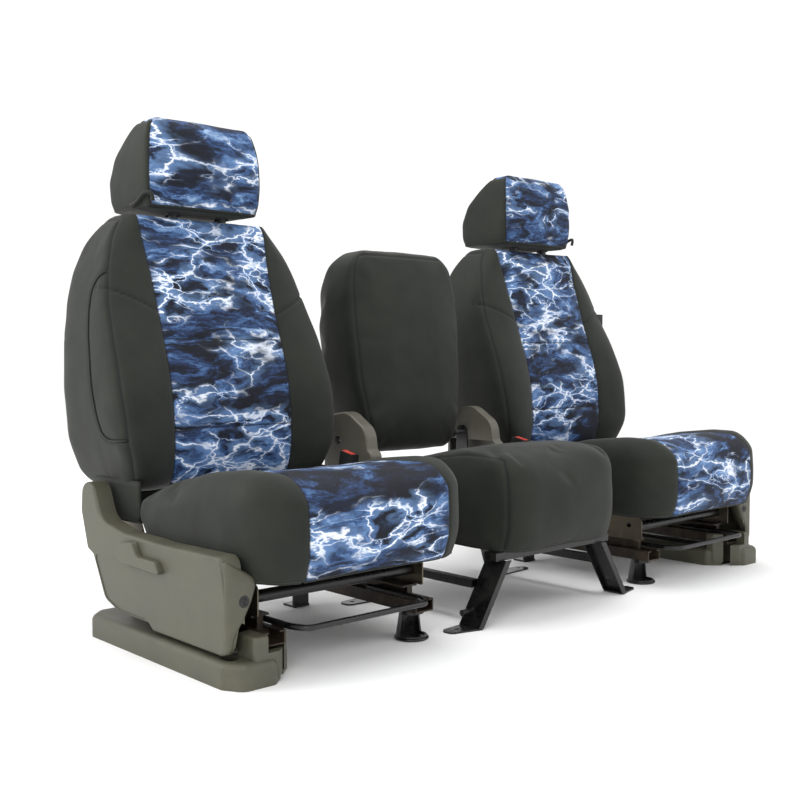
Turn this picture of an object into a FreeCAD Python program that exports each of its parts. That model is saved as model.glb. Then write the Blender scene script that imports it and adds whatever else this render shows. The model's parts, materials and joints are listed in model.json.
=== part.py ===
"""Front row of three truck seats wearing a fitted cover set.

Millimetres, +Z up, front of the seats towards -Y, +X towards the right-hand outer seat.
The origin is on the floor, at the middle of the centre seat's four floor bolts.
Outer seats are drawn for the left side about their own centre line, then mirrored for the right.
"""
import math
import os

import FreeCAD
import Part

V = FreeCAD.Vector

# ---- layout of the row -------------------------------------------------------------------
SEAT_SPACING = 585.0      # centre seat to each outer seat
FACE_Y = 280.0            # plane of the backrests' front faces, behind the origin

# ---- covers ------------------------------------------------------------------------------
COVER_WALL = 3.0          # laminated knit and foam sheet
BODY_GAP = 0.5            # between a moving piece and its neighbour
RUN_FIT = 0.05            # radial clearance of a pin or rod in its hole

# ---- outer cushion -----------------------------------------------------------------------
CUSHION_WIDTH = 524.0
CUSHION_FRONT = -548.0
CUSHION_REAR = -62.0
CUSHION_HEM = 182.0
CUSHION_RISE = 206.0      # hem to the top of the bolsters
CUSHION_PANEL = 356.0     # width of the printed panel

# ---- outer backrest ----------------------------------------------------------------------
BACK_WIDTH = 590.0
BACK_BASE = 300.0
BACK_HEIGHT = 608.0
BACK_PANEL = 306.0        # width of the printed panel
BACK_PANEL_REAR = 130.0   # seam behind the top edge
# share of height, share of half width, front face, rear face
BACK_ROWS = [
    (0.000, 0.875, -30.0, 198.0),
    (0.060, 0.900, -48.0, 224.0),
    (0.170, 0.980, -62.0, 238.0),
    (0.350, 1.000, -50.0, 242.0),
    (0.540, 0.980, -8.0, 249.0),
    (0.680, 0.940, 24.0, 251.0),
    (0.800, 0.880, 48.0, 246.0),
    (0.900, 0.795, 64.0, 230.0),
    (0.965, 0.680, 76.0, 198.0),
    (1.000, 0.520, 92.0, 158.0),
]
BACK_CORNER = 52.0

# ---- headrest ----------------------------------------------------------------------------
HEAD_WIDTH = 314.0
HEAD_GAP = 8.0            # above the backrest
HEAD_HEIGHT = 210.0
HEAD_PANEL_INSET = 8.0    # side gusset seam from the side face
HEAD_BAND = 28.0          # plain band below the printed panel
HEAD_ROWS = [
    (0.000, 0.910, 72.0, 262.0),
    (0.130, 0.970, 60.0, 274.0),
    (0.360, 1.000, 56.0, 272.0),
    (0.600, 0.990, 58.0, 248.0),
    (0.800, 0.950, 68.0, 200.0),
    (0.940, 0.860, 84.0, 158.0),
    (1.000, 0.760, 100.0, 130.0),
]
HEAD_CORNER = 28.0
POST_RADIUS = 6.0
POST_SPREAD = 130.0
POST_Y = 112.0
POST_TILT = 8.0           # degrees back from upright
POST_DEPTH = 150.0        # length of a post inside the backrest
GUIDE_RADIUS = 11.0
GUIDE_LENGTH = 60.0
GUIDE_FLANGE = 17.0

# ---- centre seat -------------------------------------------------------------------------
MID_CUSHION_WIDTH = 394.0
MID_CUSHION_FRONT = -536.0
MID_CUSHION_REAR = -46.0
MID_CUSHION_HEM = 160.0
MID_CUSHION_RISE = 218.0
MID_BACK_WIDTH = 394.0
MID_BACK_BASE = 340.0
MID_BACK_HEIGHT = 526.0
MID_BACK_ROWS = [
    (0.000, 0.760, -8.0, 105.0),
    (0.060, 0.810, -26.0, 160.0),
    (0.170, 0.870, -32.0, 188.0),
    (0.360, 0.960, -17.0, 200.0),
    (0.620, 1.000, -3.0, 203.0),
    (0.800, 0.990, 10.0, 194.0),
    (0.910, 0.920, 20.0, 172.0),
    (0.970, 0.800, 34.0, 140.0),
    (1.000, 0.620, 52.0, 112.0),
]
MID_BACK_CORNER = 40.0
MID_PIVOT_Y = 22.0
MID_PIVOT_Z = 380.0
MID_PIVOT_RADIUS = 7.0
BRACKET_INNER = 206.0     # inner face of a grey hinge bracket
BRACKET_WIDTH = 34.0
LEG_PITCH_X = 600.0       # floor holes of the centre seat
LEG_PITCH_Y = 350.0
BEAM_TOP = 158.0          # cross beams of the centre seat, under the cushion's hem
BEAM_HEIGHT = 18.0

# ---- tracks and frame of an outer seat ---------------------------------------------------
PLATE_OUT_X = 37.0 - CUSHION_WIDTH / 2      # outer face of the outboard side plate
PLATE_IN_X = CUSHION_WIDTH / 2 - 67.0       # outer face of the inboard side plate
RAIL_OUT_X = PLATE_OUT_X + 20.0
RAIL_IN_X = PLATE_IN_X - 20.0
RAIL_FRONT = -470.0
RAIL_LENGTH = 490.0
RAIL_BASE = 62.0
RAIL_WIDTH = 50.0
RAIL_HEIGHT = 26.0
RAIL_WALL = 3.0
RAIL_SLOT = 24.0
SLIDER_LENGTH = 400.0
SLIDER_WEB = 14.0
SLIDER_TOP = 112.0
SLIDER_TOP_WIDTH = 40.0
PLATE_WALL = 3.0
PAN_TOP = 200.0
PAN_LIP = 14.0             # turned down at the pan's front, above the hem
CUP_BASE = 34.0            # radii of a cup foot at the floor and under the rail
CUP_NECK = 25.0
CUP_RIM = 3.0
PIVOT_Y = 30.0
PIVOT_Z = 272.0
PIVOT_RADIUS = 8.0
TUBE_RADIUS = 12.0
FRAME_TUBE = 11.0
FLOOR_BOLT = 5.5          # radius of every floor bolt hole
REAR_BOLT_Y = -30.0       # floor hole behind the outer seats' face plane
FRONT_BOLT_Y = -430.0

# ---- outboard moulding, lever, release bar, floor skirt ----------------------------------
TRIM_DEPTH = 40.0
TRIM_INNER_X = -268.0     # clear of the cushion and the backrest
TRIM_FACE_X = TRIM_INNER_X - TRIM_DEPTH
TRIM_WALL = 4.0
LEVER_Y = -110.0
LEVER_Z = 198.0
LEVER_THICK = 13.0
LEVER_SHAFT = 6.0
LEVER_SHAFT_LENGTH = 30.0
BAR_RADIUS = 6.0
BAR_Z = 96.0
BAR_FRONT = -520.0
BAR_REAR = -330.0
BAR_REACH = (RAIL_IN_X - RAIL_OUT_X) / 2 - 26.0     # half the distance between the bar's arms
BAR_PIN = 3.0             # radius of the bar's pivot pins
SKIRT_WALL = 4.0
SKIRT_DECK = 48.0
SKIRT_POST = 90.0

# ---- belt buckle -------------------------------------------------------------------------
BUCKLE_X = CUSHION_WIDTH / 2 + 16.0     # middle of the buckle, inboard of the cushion
BUCKLE_Y = -105.0
BUCKLE_TOP = 362.0
BUCKLE_WIDTH = 26.0
BUCKLE_DEPTH = 44.0
BUCKLE_LENGTH = 74.0
BUCKLE_TILT = 12.0        # degrees forward
BUTTON_TRAVEL = 4.0


# ---- drawing helpers ---------------------------------------------------------------------
PLANES = {
    "yz": lambda a, b, c: V(c, a, b),
    "xz": lambda a, b, c: V(a, c, b),
    "xy": lambda a, b, c: V(a, b, c),
}
NORMALS = {"yz": V(1, 0, 0), "xz": V(0, 1, 0), "xy": V(0, 0, 1)}


def box(x0, x1, y0, y1, z0, z1):
    """Rectangular block between two corners."""
    return Part.makeBox(x1 - x0, y1 - y0, z1 - z0, V(x0, y0, z0))


def rod(start, end, radius):
    """Round bar from one point to another."""
    return Part.makeCylinder(radius, (end - start).Length, start, end - start)


def tube(start, end, outer, inner):
    """Round tube from one point to another."""
    return rod(start, end, outer).cut(rod(start, end, inner))


def joined(shapes):
    """One clean solid from touching or overlapping ones."""
    whole = shapes[0].fuse(shapes[1:]) if len(shapes) > 1 else shapes[0]
    return whole.removeSplitter()


def rounded_edges(points, radii, closed):
    """Straight runs joined by tangent arcs, one radius for each point.

    An arc is limited to half of its shorter run, so that neighbouring arcs never meet.
    """
    count = len(points)
    starts, ends, arcs = list(points), list(points), [None] * count
    for i in range(count):
        if radii[i] <= 0 or (not closed and i in (0, count - 1)):
            continue
        here = points[i]
        before = (points[i - 1] - here)
        after = (points[(i + 1) % count] - here)
        room = 0.48 * min(before.Length, after.Length)
        before.normalize()
        after.normalize()
        half = before.getAngle(after) / 2
        if half > math.radians(89.5):
            continue
        radius = min(radii[i], room * math.tan(half))
        reach = radius / math.tan(half)
        middle = before + after
        middle.normalize()
        centre = here + middle * (radius / math.sin(half))
        starts[i] = here + before * reach
        ends[i] = here + after * reach
        arcs[i] = Part.Arc(starts[i], centre - middle * radius, ends[i]).toShape()
    edges = []
    for i in range(count):
        if arcs[i]:
            edges.append(arcs[i])
        if closed or i < count - 1:
            edges.append(Part.LineSegment(ends[i], starts[(i + 1) % count]).toShape())
    return edges


def outline(corners, plane, level):
    """Closed wire through (a, b, radius) corners on one plane."""
    points = [PLANES[plane](a, b, level) for a, b, _ in corners]
    return Part.Wire(rounded_edges(points, [c[2] for c in corners], True))


def prism(corners, plane, low, high):
    """Outline extruded between two levels of its plane's normal."""
    return Part.Face(outline(corners, plane, low)).extrude(NORMALS[plane] * (high - low))


def bar_along(points, bend, radius):
    """Round bar that follows straight runs joined by one bend radius."""
    path = Part.Wire(rounded_edges(points, [bend] * len(points), False))
    ring = Part.Wire(Part.Circle(points[0], points[1] - points[0], radius).toShape())
    return path.makePipeShell([ring], True, True)


def section(half, front, rear, level, corner):
    """Rounded rectangle across a soft body at one height."""
    round_by = min(corner, 0.42 * (rear - front), 0.42 * half)
    corners = [(half, front), (half, rear), (-half, rear), (-half, front)]
    return outline([(a, b, round_by) for a, b in corners], "xy", level)


def soft_body(rows, base, height, width, corner, inset=0.0):
    """Loft through rows of (share of height, share of half width, front, rear)."""
    wires = []
    for share, wide, front, rear in rows:
        level = base + share * height - inset * share * share
        half = wide * width / 2 - inset
        wires.append(section(half, front + inset, rear - inset, level, corner))
    return Part.makeLoft(wires, True, False)


def mirrored(shape):
    """The right-hand piece of a left-hand one."""
    return shape.mirror(V(0, 0, 0), V(1, 0, 0))


def on_left(shape):
    """Place an outer seat's piece on the left of the row."""
    return shape.translated(V(-SEAT_SPACING, FACE_Y, 0))


def on_centre(shape):
    """Place a centre seat's piece."""
    return shape.translated(V(0, FACE_Y, 0))


def tilted(shape, degrees, about):
    """Lean a piece back about a line along X."""
    turned = shape.copy()
    turned.rotate(about, V(1, 0, 0), -degrees)
    return turned


# ---- soft pieces -------------------------------------------------------------------------
def cushion_blocks(width, front, rear, hem, rise, inset):
    """A cushion's full height and its plan, both drawn in by the inset."""
    top = hem + rise
    half = width / 2
    profile = outline([
        (front + 22, hem, 6), (front, hem + 58, 60), (front + 1, top - 46, 60),
        (front + 26, top - 4, 26), (front + 118, top, 90), (front + 250, top - 16, 140),
        (rear - 98, top - 46, 120), (rear - 20, top - 68, 18), (rear, top - 100, 24),
        (rear, hem, 6)], "yz", -half)
    plan = outline([
        (-half, rear, 34), (-half, front + 74, 50), (-half * 0.67, front, 60),
        (half * 0.67, front, 60), (half, front + 74, 50), (half, rear, 34)], "xy", hem - 60)
    if inset:
        profile = profile.makeOffset2D(-inset)
        plan = plan.makeOffset2D(-inset)
    side = Part.Face(profile).extrude(V(width, 0, 0))
    column = Part.Face(plan).extrude(V(0, 0, rise + 120))
    return side.common(column), column


def cushion_set(width, front, rear, hem, rise, seat_top):
    """Foam block and the open-bottomed cover that is pulled over it."""
    outer, _ = cushion_blocks(width, front, rear, hem, rise, 0)
    inner, core = cushion_blocks(width, front, rear, hem, rise, COVER_WALL)
    big = width + abs(front)
    mouth = core.common(box(-big, big, -big, big, hem - 1, hem + 2 * COVER_WALL))
    above = box(-big, big, -big, big, seat_top, hem + rise)
    return inner.common(above), outer.cut(inner).cut(mouth)


def outer_cushion():
    """Foam, plain cover and printed panel of an outer cushion."""
    foam, cover = cushion_set(CUSHION_WIDTH, CUSHION_FRONT, CUSHION_REAR, CUSHION_HEM,
                              CUSHION_RISE, PAN_TOP)
    half = CUSHION_PANEL / 2
    middle = box(-half, half, CUSHION_FRONT - 10, CUSHION_REAR - 60,
                 CUSHION_HEM + 8, CUSHION_HEM + CUSHION_RISE + 10)
    return foam, cover.cut(middle), cover.common(middle)


def outer_back_shell(inset):
    """Outside, or cover-inset, form of an outer backrest."""
    return soft_body(BACK_ROWS, BACK_BASE, BACK_HEIGHT, BACK_WIDTH, BACK_CORNER, inset)


def outer_back(cavities):
    """Foam, plain cover and printed panel of an outer backrest."""
    outer, inner = outer_back_shell(0), outer_back_shell(COVER_WALL)
    cover = outer.cut(inner)
    half, top = BACK_PANEL / 2, BACK_BASE + BACK_HEIGHT
    middle = prism([
        (-half, BACK_BASE - 5, 0), (-half, BACK_BASE + 0.8 * BACK_HEIGHT, 120),
        (-half - 40, top + 10, 0), (half + 40, top + 10, 0),
        (half, BACK_BASE + 0.8 * BACK_HEIGHT, 120), (half, BACK_BASE - 5, 0)],
        "xz", -150, BACK_PANEL_REAR)
    panel, cover = cover.common(middle), cover.cut(middle)
    return inner.cut(cavities), cover.cut(cavities), panel.cut(cavities)


def head_base():
    """Height of the headrest's underside."""
    return BACK_BASE + BACK_HEIGHT + HEAD_GAP


def headrest(posts):
    """Foam, plain cover and printed panel of a headrest."""
    base = head_base()
    outer = soft_body(HEAD_ROWS, base, HEAD_HEIGHT, HEAD_WIDTH, HEAD_CORNER)
    inner = soft_body(HEAD_ROWS, base, HEAD_HEIGHT, HEAD_WIDTH, HEAD_CORNER, COVER_WALL)
    cover = outer.cut(inner)
    half = HEAD_WIDTH / 2 - HEAD_PANEL_INSET
    middle = box(-half, half, 0, 150, base + HEAD_BAND, base + HEAD_HEIGHT + 10)
    return inner.cut(posts), cover.cut(middle), cover.common(middle)


def centre_cushion():
    """Foam and cover of the centre cushion."""
    return cushion_set(MID_CUSHION_WIDTH, MID_CUSHION_FRONT, MID_CUSHION_REAR,
                       MID_CUSHION_HEM, MID_CUSHION_RISE, MID_CUSHION_HEM + 16)


def centre_back(cavities):
    """Foam and cover of the centre backrest."""
    forms = [soft_body(MID_BACK_ROWS, MID_BACK_BASE, MID_BACK_HEIGHT, MID_BACK_WIDTH,
                       MID_BACK_CORNER, inset) for inset in (0, COVER_WALL)]
    return forms[1].cut(cavities), forms[0].cut(forms[1]).cut(cavities)


# ---- headrest posts and guides -----------------------------------------------------------
def post_point(x, along):
    """Point on a post's axis, measured up from the backrest's top."""
    lean = math.radians(POST_TILT)
    top = BACK_BASE + BACK_HEIGHT
    return V(x, POST_Y + along * math.sin(lean), top + along * math.cos(lean))


def headrest_posts():
    """Two posts and the cross bar that they share inside the headrest."""
    half = POST_SPREAD / 2
    low, high = -POST_DEPTH, HEAD_HEIGHT * 0.62
    path = [post_point(-half, low), post_point(-half, high),
            post_point(half, high), post_point(half, low)]
    return bar_along(path, 18, POST_RADIUS)


def headrest_guides():
    """Two flanged sleeves that the posts run in."""
    sleeves = []
    for x in (-POST_SPREAD / 2, POST_SPREAD / 2):
        body = rod(post_point(x, -GUIDE_LENGTH), post_point(x, 2), GUIDE_RADIUS)
        flange = rod(post_point(x, 2), post_point(x, 5), GUIDE_FLANGE)
        hole = rod(post_point(x, -GUIDE_LENGTH - 1), post_point(x, 6), POST_RADIUS + RUN_FIT)
        sleeves.append(body.fuse(flange).cut(hole))
    return sleeves


def post_room():
    """Space that the posts sweep inside the backrest."""
    wells = []
    for x in (-POST_SPREAD / 2, POST_SPREAD / 2):
        wells.append(rod(post_point(x, -POST_DEPTH - 5), post_point(x, 6), GUIDE_RADIUS))
        wells.append(rod(post_point(x, 0), post_point(x, 9), GUIDE_FLANGE + BODY_GAP))
    return Part.makeCompound(wells)


# ---- frame of an outer seat --------------------------------------------------------------
def lower_rail(x):
    """Fixed channel with inturned lips."""
    half, front, rear = RAIL_WIDTH / 2, RAIL_FRONT, RAIL_FRONT + RAIL_LENGTH
    top = RAIL_BASE + RAIL_HEIGHT
    outer = box(x - half, x + half, front, rear, RAIL_BASE, top)
    inner = box(x - half + RAIL_WALL, x + half - RAIL_WALL, front - 1, rear + 1,
                RAIL_BASE + RAIL_WALL, top - RAIL_WALL)
    slot = box(x - RAIL_SLOT / 2, x + RAIL_SLOT / 2, front - 1, rear + 1, RAIL_BASE + RAIL_WALL, top + 1)
    return outer.cut(inner).cut(slot)


def slider_span():
    """Front and rear of a sliding rail at mid travel."""
    middle = RAIL_FRONT + RAIL_LENGTH / 2
    return middle - SLIDER_LENGTH / 2, middle + SLIDER_LENGTH / 2


def upper_rail(x):
    """Sliding rail: a foot in the channel, a web and a top flange."""
    front, rear = slider_span()
    half = RAIL_WIDTH / 2 - RAIL_WALL - BODY_GAP
    low = RAIL_BASE + RAIL_WALL + BODY_GAP
    high = RAIL_BASE + RAIL_HEIGHT - RAIL_WALL - BODY_GAP
    foot = box(x - half, x + half, front, rear, low, high)
    web = box(x - SLIDER_WEB / 2, x + SLIDER_WEB / 2, front, rear, high, SLIDER_TOP)
    half_cap = SLIDER_TOP_WIDTH / 2
    cap = box(x - half_cap, x + half_cap, front, rear, SLIDER_TOP - 4, SLIDER_TOP)
    pivot = rod(V(x - SLIDER_WEB, BAR_REAR, BAR_Z), V(x + SLIDER_WEB, BAR_REAR, BAR_Z), BAR_PIN + RUN_FIT)
    return joined([foot, web, cap]).cut(pivot)


def side_plate(x):
    """Stamped plate from the front of a rail up to the recliner pivot."""
    front, rear = slider_span()
    plate = prism([
        (front - 20, SLIDER_TOP, 4), (front - 20, 170, 14), (front + 70, PAN_TOP - 3, 30),
        (CUSHION_REAR - 40, PAN_TOP - 3, 8), (CUSHION_REAR - 22, CUSHION_HEM - 6, 8),
        (CUSHION_REAR + 10, CUSHION_HEM - 6, 14), (PIVOT_Y - 34, PIVOT_Z - 8, 20),
        (PIVOT_Y - 20, PIVOT_Z + 26, 22),
        (PIVOT_Y + 24, PIVOT_Z + 26, 22), (PIVOT_Y + 34, 200, 30), (rear + 10, SLIDER_TOP, 10)],
        "yz", x, x + PLATE_WALL)
    holes = [rod(V(x - 1, PIVOT_Y, PIVOT_Z), V(x + 4, PIVOT_Y, PIVOT_Z), PIVOT_RADIUS)]
    for y, z, radius in ((front + 20, 150, 7), (front + 95, 160, 12), (-150, 155, 14)):
        holes.append(rod(V(x - 1, y, z), V(x + 4, y, z), radius))
    return plate.cut(Part.makeCompound(holes))


def plate_faces():
    """Inner faces of the two side plates."""
    return PLATE_OUT_X + PLATE_WALL, PLATE_IN_X - PLATE_WALL


def cross_tubes():
    """Front and rear tubes between the side plates."""
    left, right = plate_faces()
    return [tube(V(left, y, 142), V(right, y, 142), TUBE_RADIUS, TUBE_RADIUS - 2)
            for y in (-408, -92)]


def seat_pan():
    """Pressed pan under the foam, with a turned-down front lip."""
    left, right = plate_faces()
    front, rear = CUSHION_FRONT + 50, CUSHION_REAR - 30
    sheet = box(left, right, front, rear, PAN_TOP - 3, PAN_TOP)
    lip = box(left, right, front, front + 3, PAN_TOP - PAN_LIP, PAN_TOP - 3)
    ribs = [box(x - 14, x + 14, front + 60, rear - 50, PAN_TOP - 14, PAN_TOP - 3)
            for x in (-140, -15, 110)]
    return joined([sheet, lip] + ribs)


def recliner_pins():
    """Headed pins that the backrest turns on."""
    pins = []
    for face, way in ((PLATE_OUT_X, 1), (PLATE_IN_X, -1)):
        head = rod(V(face - 6 * way, PIVOT_Y, PIVOT_Z), V(face, PIVOT_Y, PIVOT_Z), 16)
        shank = rod(V(face, PIVOT_Y, PIVOT_Z), V(face + 14 * way, PIVOT_Y, PIVOT_Z), PIVOT_RADIUS)
        pins.append(head.fuse(shank).removeSplitter())
    return pins


def back_frame():
    """Hoop of tube on two hinge plates, with a lower cross plate."""
    left, right = plate_faces()
    xs = (left + BODY_GAP, right - BODY_GAP - 4)
    top = BACK_BASE + 0.84 * BACK_HEIGHT
    lean = 62
    parts = []
    for x in xs:
        plate = prism([
            (PIVOT_Y - 24, PIVOT_Z - 24, 20), (PIVOT_Y + 24, PIVOT_Z - 24, 20),
            (PIVOT_Y + 58, PIVOT_Z + 150, 12), (PIVOT_Y + 6, PIVOT_Z + 150, 12)], "yz", x, x + 4)
        bore = rod(V(x - 1, PIVOT_Y, PIVOT_Z), V(x + 5, PIVOT_Y, PIVOT_Z), PIVOT_RADIUS + RUN_FIT)
        parts.append(plate.cut(bore))
    low = V(0, PIVOT_Y + 28, PIVOT_Z + 60)
    inner_left, inner_right = xs[0] + 4 + FRAME_TUBE - 1, xs[1] - FRAME_TUBE + 1
    path = [V(inner_left, low.y, low.z), V(inner_left, low.y + lean, top),
            V(inner_right, low.y + lean, top), V(inner_right, low.y, low.z)]
    parts.append(bar_along(path, 60, FRAME_TUBE))
    parts.append(box(inner_left, inner_right, low.y + 2, low.y + 5, low.z + 20, low.z + 90))
    return joined(parts)


# ---- outboard moulding and controls ------------------------------------------------------
TRIM_OUTLINE = [
    (-466, 56, 22), (-208, 56, 10), (-192, 68, 10), (-66, 70, 34), (-12, 86, 30),
    (38, 172, 12), (64, 182, 10), (92, 262, 30), (86, 322, 34), (40, 326, 30),
    (2, 250, 50), (-90, 234, 60), (-250, 230, 60), (-452, 234, 22), (-468, 150, 60)]


def outboard_trim():
    """Hollow moulding over the outboard side of the seat frame."""
    inner_x = TRIM_INNER_X
    solid = prism(TRIM_OUTLINE, "yz", TRIM_FACE_X, inner_x)
    rim = [e for e in solid.Edges if all(abs(v.X - TRIM_FACE_X) < 0.01 for v in e.Vertexes)]
    solid = solid.makeFillet(7, rim)
    hollow = outline(TRIM_OUTLINE, "yz", TRIM_FACE_X + TRIM_WALL).makeOffset2D(-TRIM_WALL)
    shell = solid.cut(Part.Face(hollow).extrude(V(TRIM_DEPTH, 0, 0)))
    panel = prism([(-190, 74, 8), (-70, 76, 30), (-20, 92, 26), (30, 176, 8), (-150, 180, 8)],
                  "yz", TRIM_FACE_X - 1, TRIM_FACE_X + 1.5)
    corner = prism([(inner_x - 26, 40, 0), (inner_x + 1, 40, 0), (inner_x + 1, 170, 30)],
                   "xz", -480, -TRIM_WALL - 440)
    screw = rod(V(inner_x - 14, -480, 156), V(inner_x - 14, -440, 156), 8)
    shaft = rod(V(TRIM_FACE_X - 1, LEVER_Y, LEVER_Z), V(TRIM_FACE_X + 8, LEVER_Y, LEVER_Z),
                LEVER_SHAFT + RUN_FIT)
    shell = shell.cut(panel).cut(corner).cut(screw).cut(shaft)
    bosses = [tube(V(TRIM_FACE_X + 3, y, z), V(PLATE_OUT_X, y, z), 8, 2.5)
              for y, z in ((-330, 160), (-150, 132), (20, 200))]
    return joined([shell] + bosses)


def recline_lever():
    """Cranked paddle on a short shaft."""
    outer = TRIM_FACE_X - BODY_GAP
    paddle = prism([
        (LEVER_Y + 20, LEVER_Z - 20, 18), (LEVER_Y + 18, LEVER_Z + 18, 18),
        (LEVER_Y - 42, LEVER_Z + 27, 10), (LEVER_Y - 60, LEVER_Z, 14),
        (LEVER_Y - 130, LEVER_Z, 12), (LEVER_Y - 150, LEVER_Z - 24, 5),
        (LEVER_Y - 110, LEVER_Z - 22, 8)], "yz", outer - LEVER_THICK, outer)
    rim = [e for e in paddle.Edges if all(abs(v.X - outer + LEVER_THICK) < 0.01 for v in e.Vertexes)]
    paddle = paddle.makeFillet(3, rim)
    end = TRIM_FACE_X + LEVER_SHAFT_LENGTH
    shaft = rod(V(outer - 1, LEVER_Y, LEVER_Z), V(end, LEVER_Y, LEVER_Z), LEVER_SHAFT)
    return joined([paddle, shaft])


def release_bar():
    """Bent bar across the front that frees the tracks when lifted."""
    middle = (RAIL_OUT_X + RAIL_IN_X) / 2
    left, right = middle - BAR_REACH, middle + BAR_REACH
    path = [V(left, BAR_REAR + 8, BAR_Z), V(left, BAR_FRONT + 36, BAR_Z),
            V(left + 14, BAR_FRONT, BAR_Z), V(right - 14, BAR_FRONT, BAR_Z),
            V(right, BAR_FRONT + 36, BAR_Z), V(right, BAR_REAR + 8, BAR_Z)]
    ends = [rod(V(x, BAR_REAR, BAR_Z), V(rail, BAR_REAR, BAR_Z), BAR_PIN)
            for x, rail in ((left, RAIL_OUT_X), (right, RAIL_IN_X))]
    return joined([bar_along(path, 22, BAR_RADIUS)] + ends)


def floor_skirt():
    """Moulding on the floor around the outboard track."""
    left, right = TRIM_FACE_X - 6, RAIL_OUT_X + 62
    front, rear = RAIL_FRONT - 30, RAIL_FRONT + RAIL_LENGTH + 46
    foot = [(left, rear - 30, 24), (left + 30, rear, 24), (right, rear, 20),
            (right, front + 75, 12), (right - 80, front, 14), (left + 22, front, 22),
            (left, front + 40, 20)]
    deck = prism(foot, "xy", 0, SKIRT_DECK)
    top = [e for e in deck.Edges if all(abs(v.Z - SKIRT_DECK) < 0.01 for v in e.Vertexes)]
    deck = deck.makeFillet(14, top)
    near = TRIM_INNER_X + 4
    post = prism([(near, front + 8, 8), (right - 66, front + 8, 8), (right - 12, front + 60, 10),
                  (right - 12, front + 84, 6), (near, front + 66, 6)], "xy", 10, SKIRT_POST)
    rim = [e for e in post.Edges if all(abs(v.Z - SKIRT_POST) < 0.01 for v in e.Vertexes)]
    body = joined([deck, post.makeFillet(5, rim)])
    half = RAIL_WIDTH / 2 + 4
    inside = front + 26
    low = SKIRT_DECK - SKIRT_WALL
    hollow = box(left + 12, right - 12, inside + 60, rear - 12, -1, low)
    track = box(RAIL_OUT_X - half, RAIL_OUT_X + half, inside, rear - 12, -1, SKIRT_POST + 1)
    lane = box(RAIL_OUT_X - half, RAIL_OUT_X + half, front - 1, rear, RAIL_BASE - 4, SKIRT_POST + 1)
    well = prism([(left + 16, inside + 12, 12), (left + 42, inside + 12, 12),
                  (left + 42, inside + 50, 12), (left + 16, inside + 50, 12)], "xy", 14, SKIRT_POST)
    return body.cut(hollow).cut(track).cut(lane).cut(well)


# ---- belt buckle -------------------------------------------------------------------------
def buckle_turn(shape):
    """Lean the buckle forward about its top."""
    return tilted(shape, -BUCKLE_TILT, V(BUCKLE_X, BUCKLE_Y, BUCKLE_TOP))


def buckle():
    """Housing with a button well, on a stalk down to the side plate."""
    x0, x1 = BUCKLE_X - BUCKLE_WIDTH / 2, BUCKLE_X + BUCKLE_WIDTH / 2
    y0, y1 = BUCKLE_Y - BUCKLE_DEPTH / 2, BUCKLE_Y + BUCKLE_DEPTH / 2
    case = box(x0, x1, y0, y1, BUCKLE_TOP - BUCKLE_LENGTH, BUCKLE_TOP)
    case = case.makeFillet(3, [e for e in case.Edges if abs(e.tangentAt(0).z) > 0.9])
    well = box(x0 + 3, x1 - 8, y0 + 4, y1 - 4, BUCKLE_TOP - 22, BUCKLE_TOP + 1)
    slot = box(x1 - 6, x1 - 3, y0 + 7, y1 - 7, BUCKLE_TOP - 46, BUCKLE_TOP + 1)
    stalk = box(BUCKLE_X - 7, BUCKLE_X + 7, BUCKLE_Y - 13, BUCKLE_Y + 13, 236, BUCKLE_TOP - BUCKLE_LENGTH)
    upper = buckle_turn(case.cut(well).cut(slot).fuse(stalk))
    arm = prism([(-150, 148, 8), (-40, 148, 8), (-96, 262, 10), (-124, 262, 10)],
                "yz", BUCKLE_X - 4, BUCKLE_X + 1)
    base = box(PLATE_IN_X, BUCKLE_X - 4, -136, -56, 149, 155)
    return joined([upper, arm, base])


def buckle_button():
    """Press button in the buckle's well."""
    x0, x1 = BUCKLE_X - BUCKLE_WIDTH / 2, BUCKLE_X + BUCKLE_WIDTH / 2
    y0, y1 = BUCKLE_Y - BUCKLE_DEPTH / 2, BUCKLE_Y + BUCKLE_DEPTH / 2
    gap = RUN_FIT * 6
    key = box(x0 + 3 + gap, x1 - 8 - gap, y0 + 4 + gap, y1 - 4 - gap,
              BUCKLE_TOP - 22 + BUTTON_TRAVEL + 1, BUCKLE_TOP + 1)
    return buckle_turn(key)


# ---- floor fixings of an outer seat ------------------------------------------------------
def floor_bracket(x, bolt_y, way):
    """Angle foot with a bolt hole, under the end of a lower rail."""
    near = bolt_y + 14 * way
    foot = box(x - 22, x + 22, bolt_y - 22, bolt_y + 22, 0, 5)
    web = box(x - 22, x + 22, min(near, near + 5 * way), max(near, near + 5 * way), 5, RAIL_BASE)
    hole = rod(V(x, bolt_y, -1), V(x, bolt_y, 6), FLOOR_BOLT)
    return joined([foot, web]).cut(hole)


def cup_foot(x, bolt_y):
    """Flared cup foot with a rolled rim, under the front of the inboard rail."""
    height = RAIL_BASE - 6
    base = Part.makeCylinder(CUP_BASE, 6, V(x, bolt_y, 0))
    rim = Part.makeTorus(CUP_BASE, CUP_RIM, V(x, bolt_y, CUP_RIM))
    wall = Part.makeCone(CUP_BASE - 1, CUP_NECK, height, V(x, bolt_y, 6))
    wall = wall.cut(Part.makeCone(CUP_BASE - 5, CUP_NECK - 4, height, V(x, bolt_y, 6)))
    mouth = box(x - 40, x + 40, bolt_y - 40, bolt_y + 4, 6 + CUP_RIM, RAIL_BASE - 8)
    cap = Part.makeCylinder(CUP_NECK, 4, V(x, bolt_y, RAIL_BASE - 4))
    hole = Part.makeCylinder(FLOOR_BOLT, 8, V(x, bolt_y, -1))
    return joined([base, rim, wall.cut(mouth), cap]).cut(hole)


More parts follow.
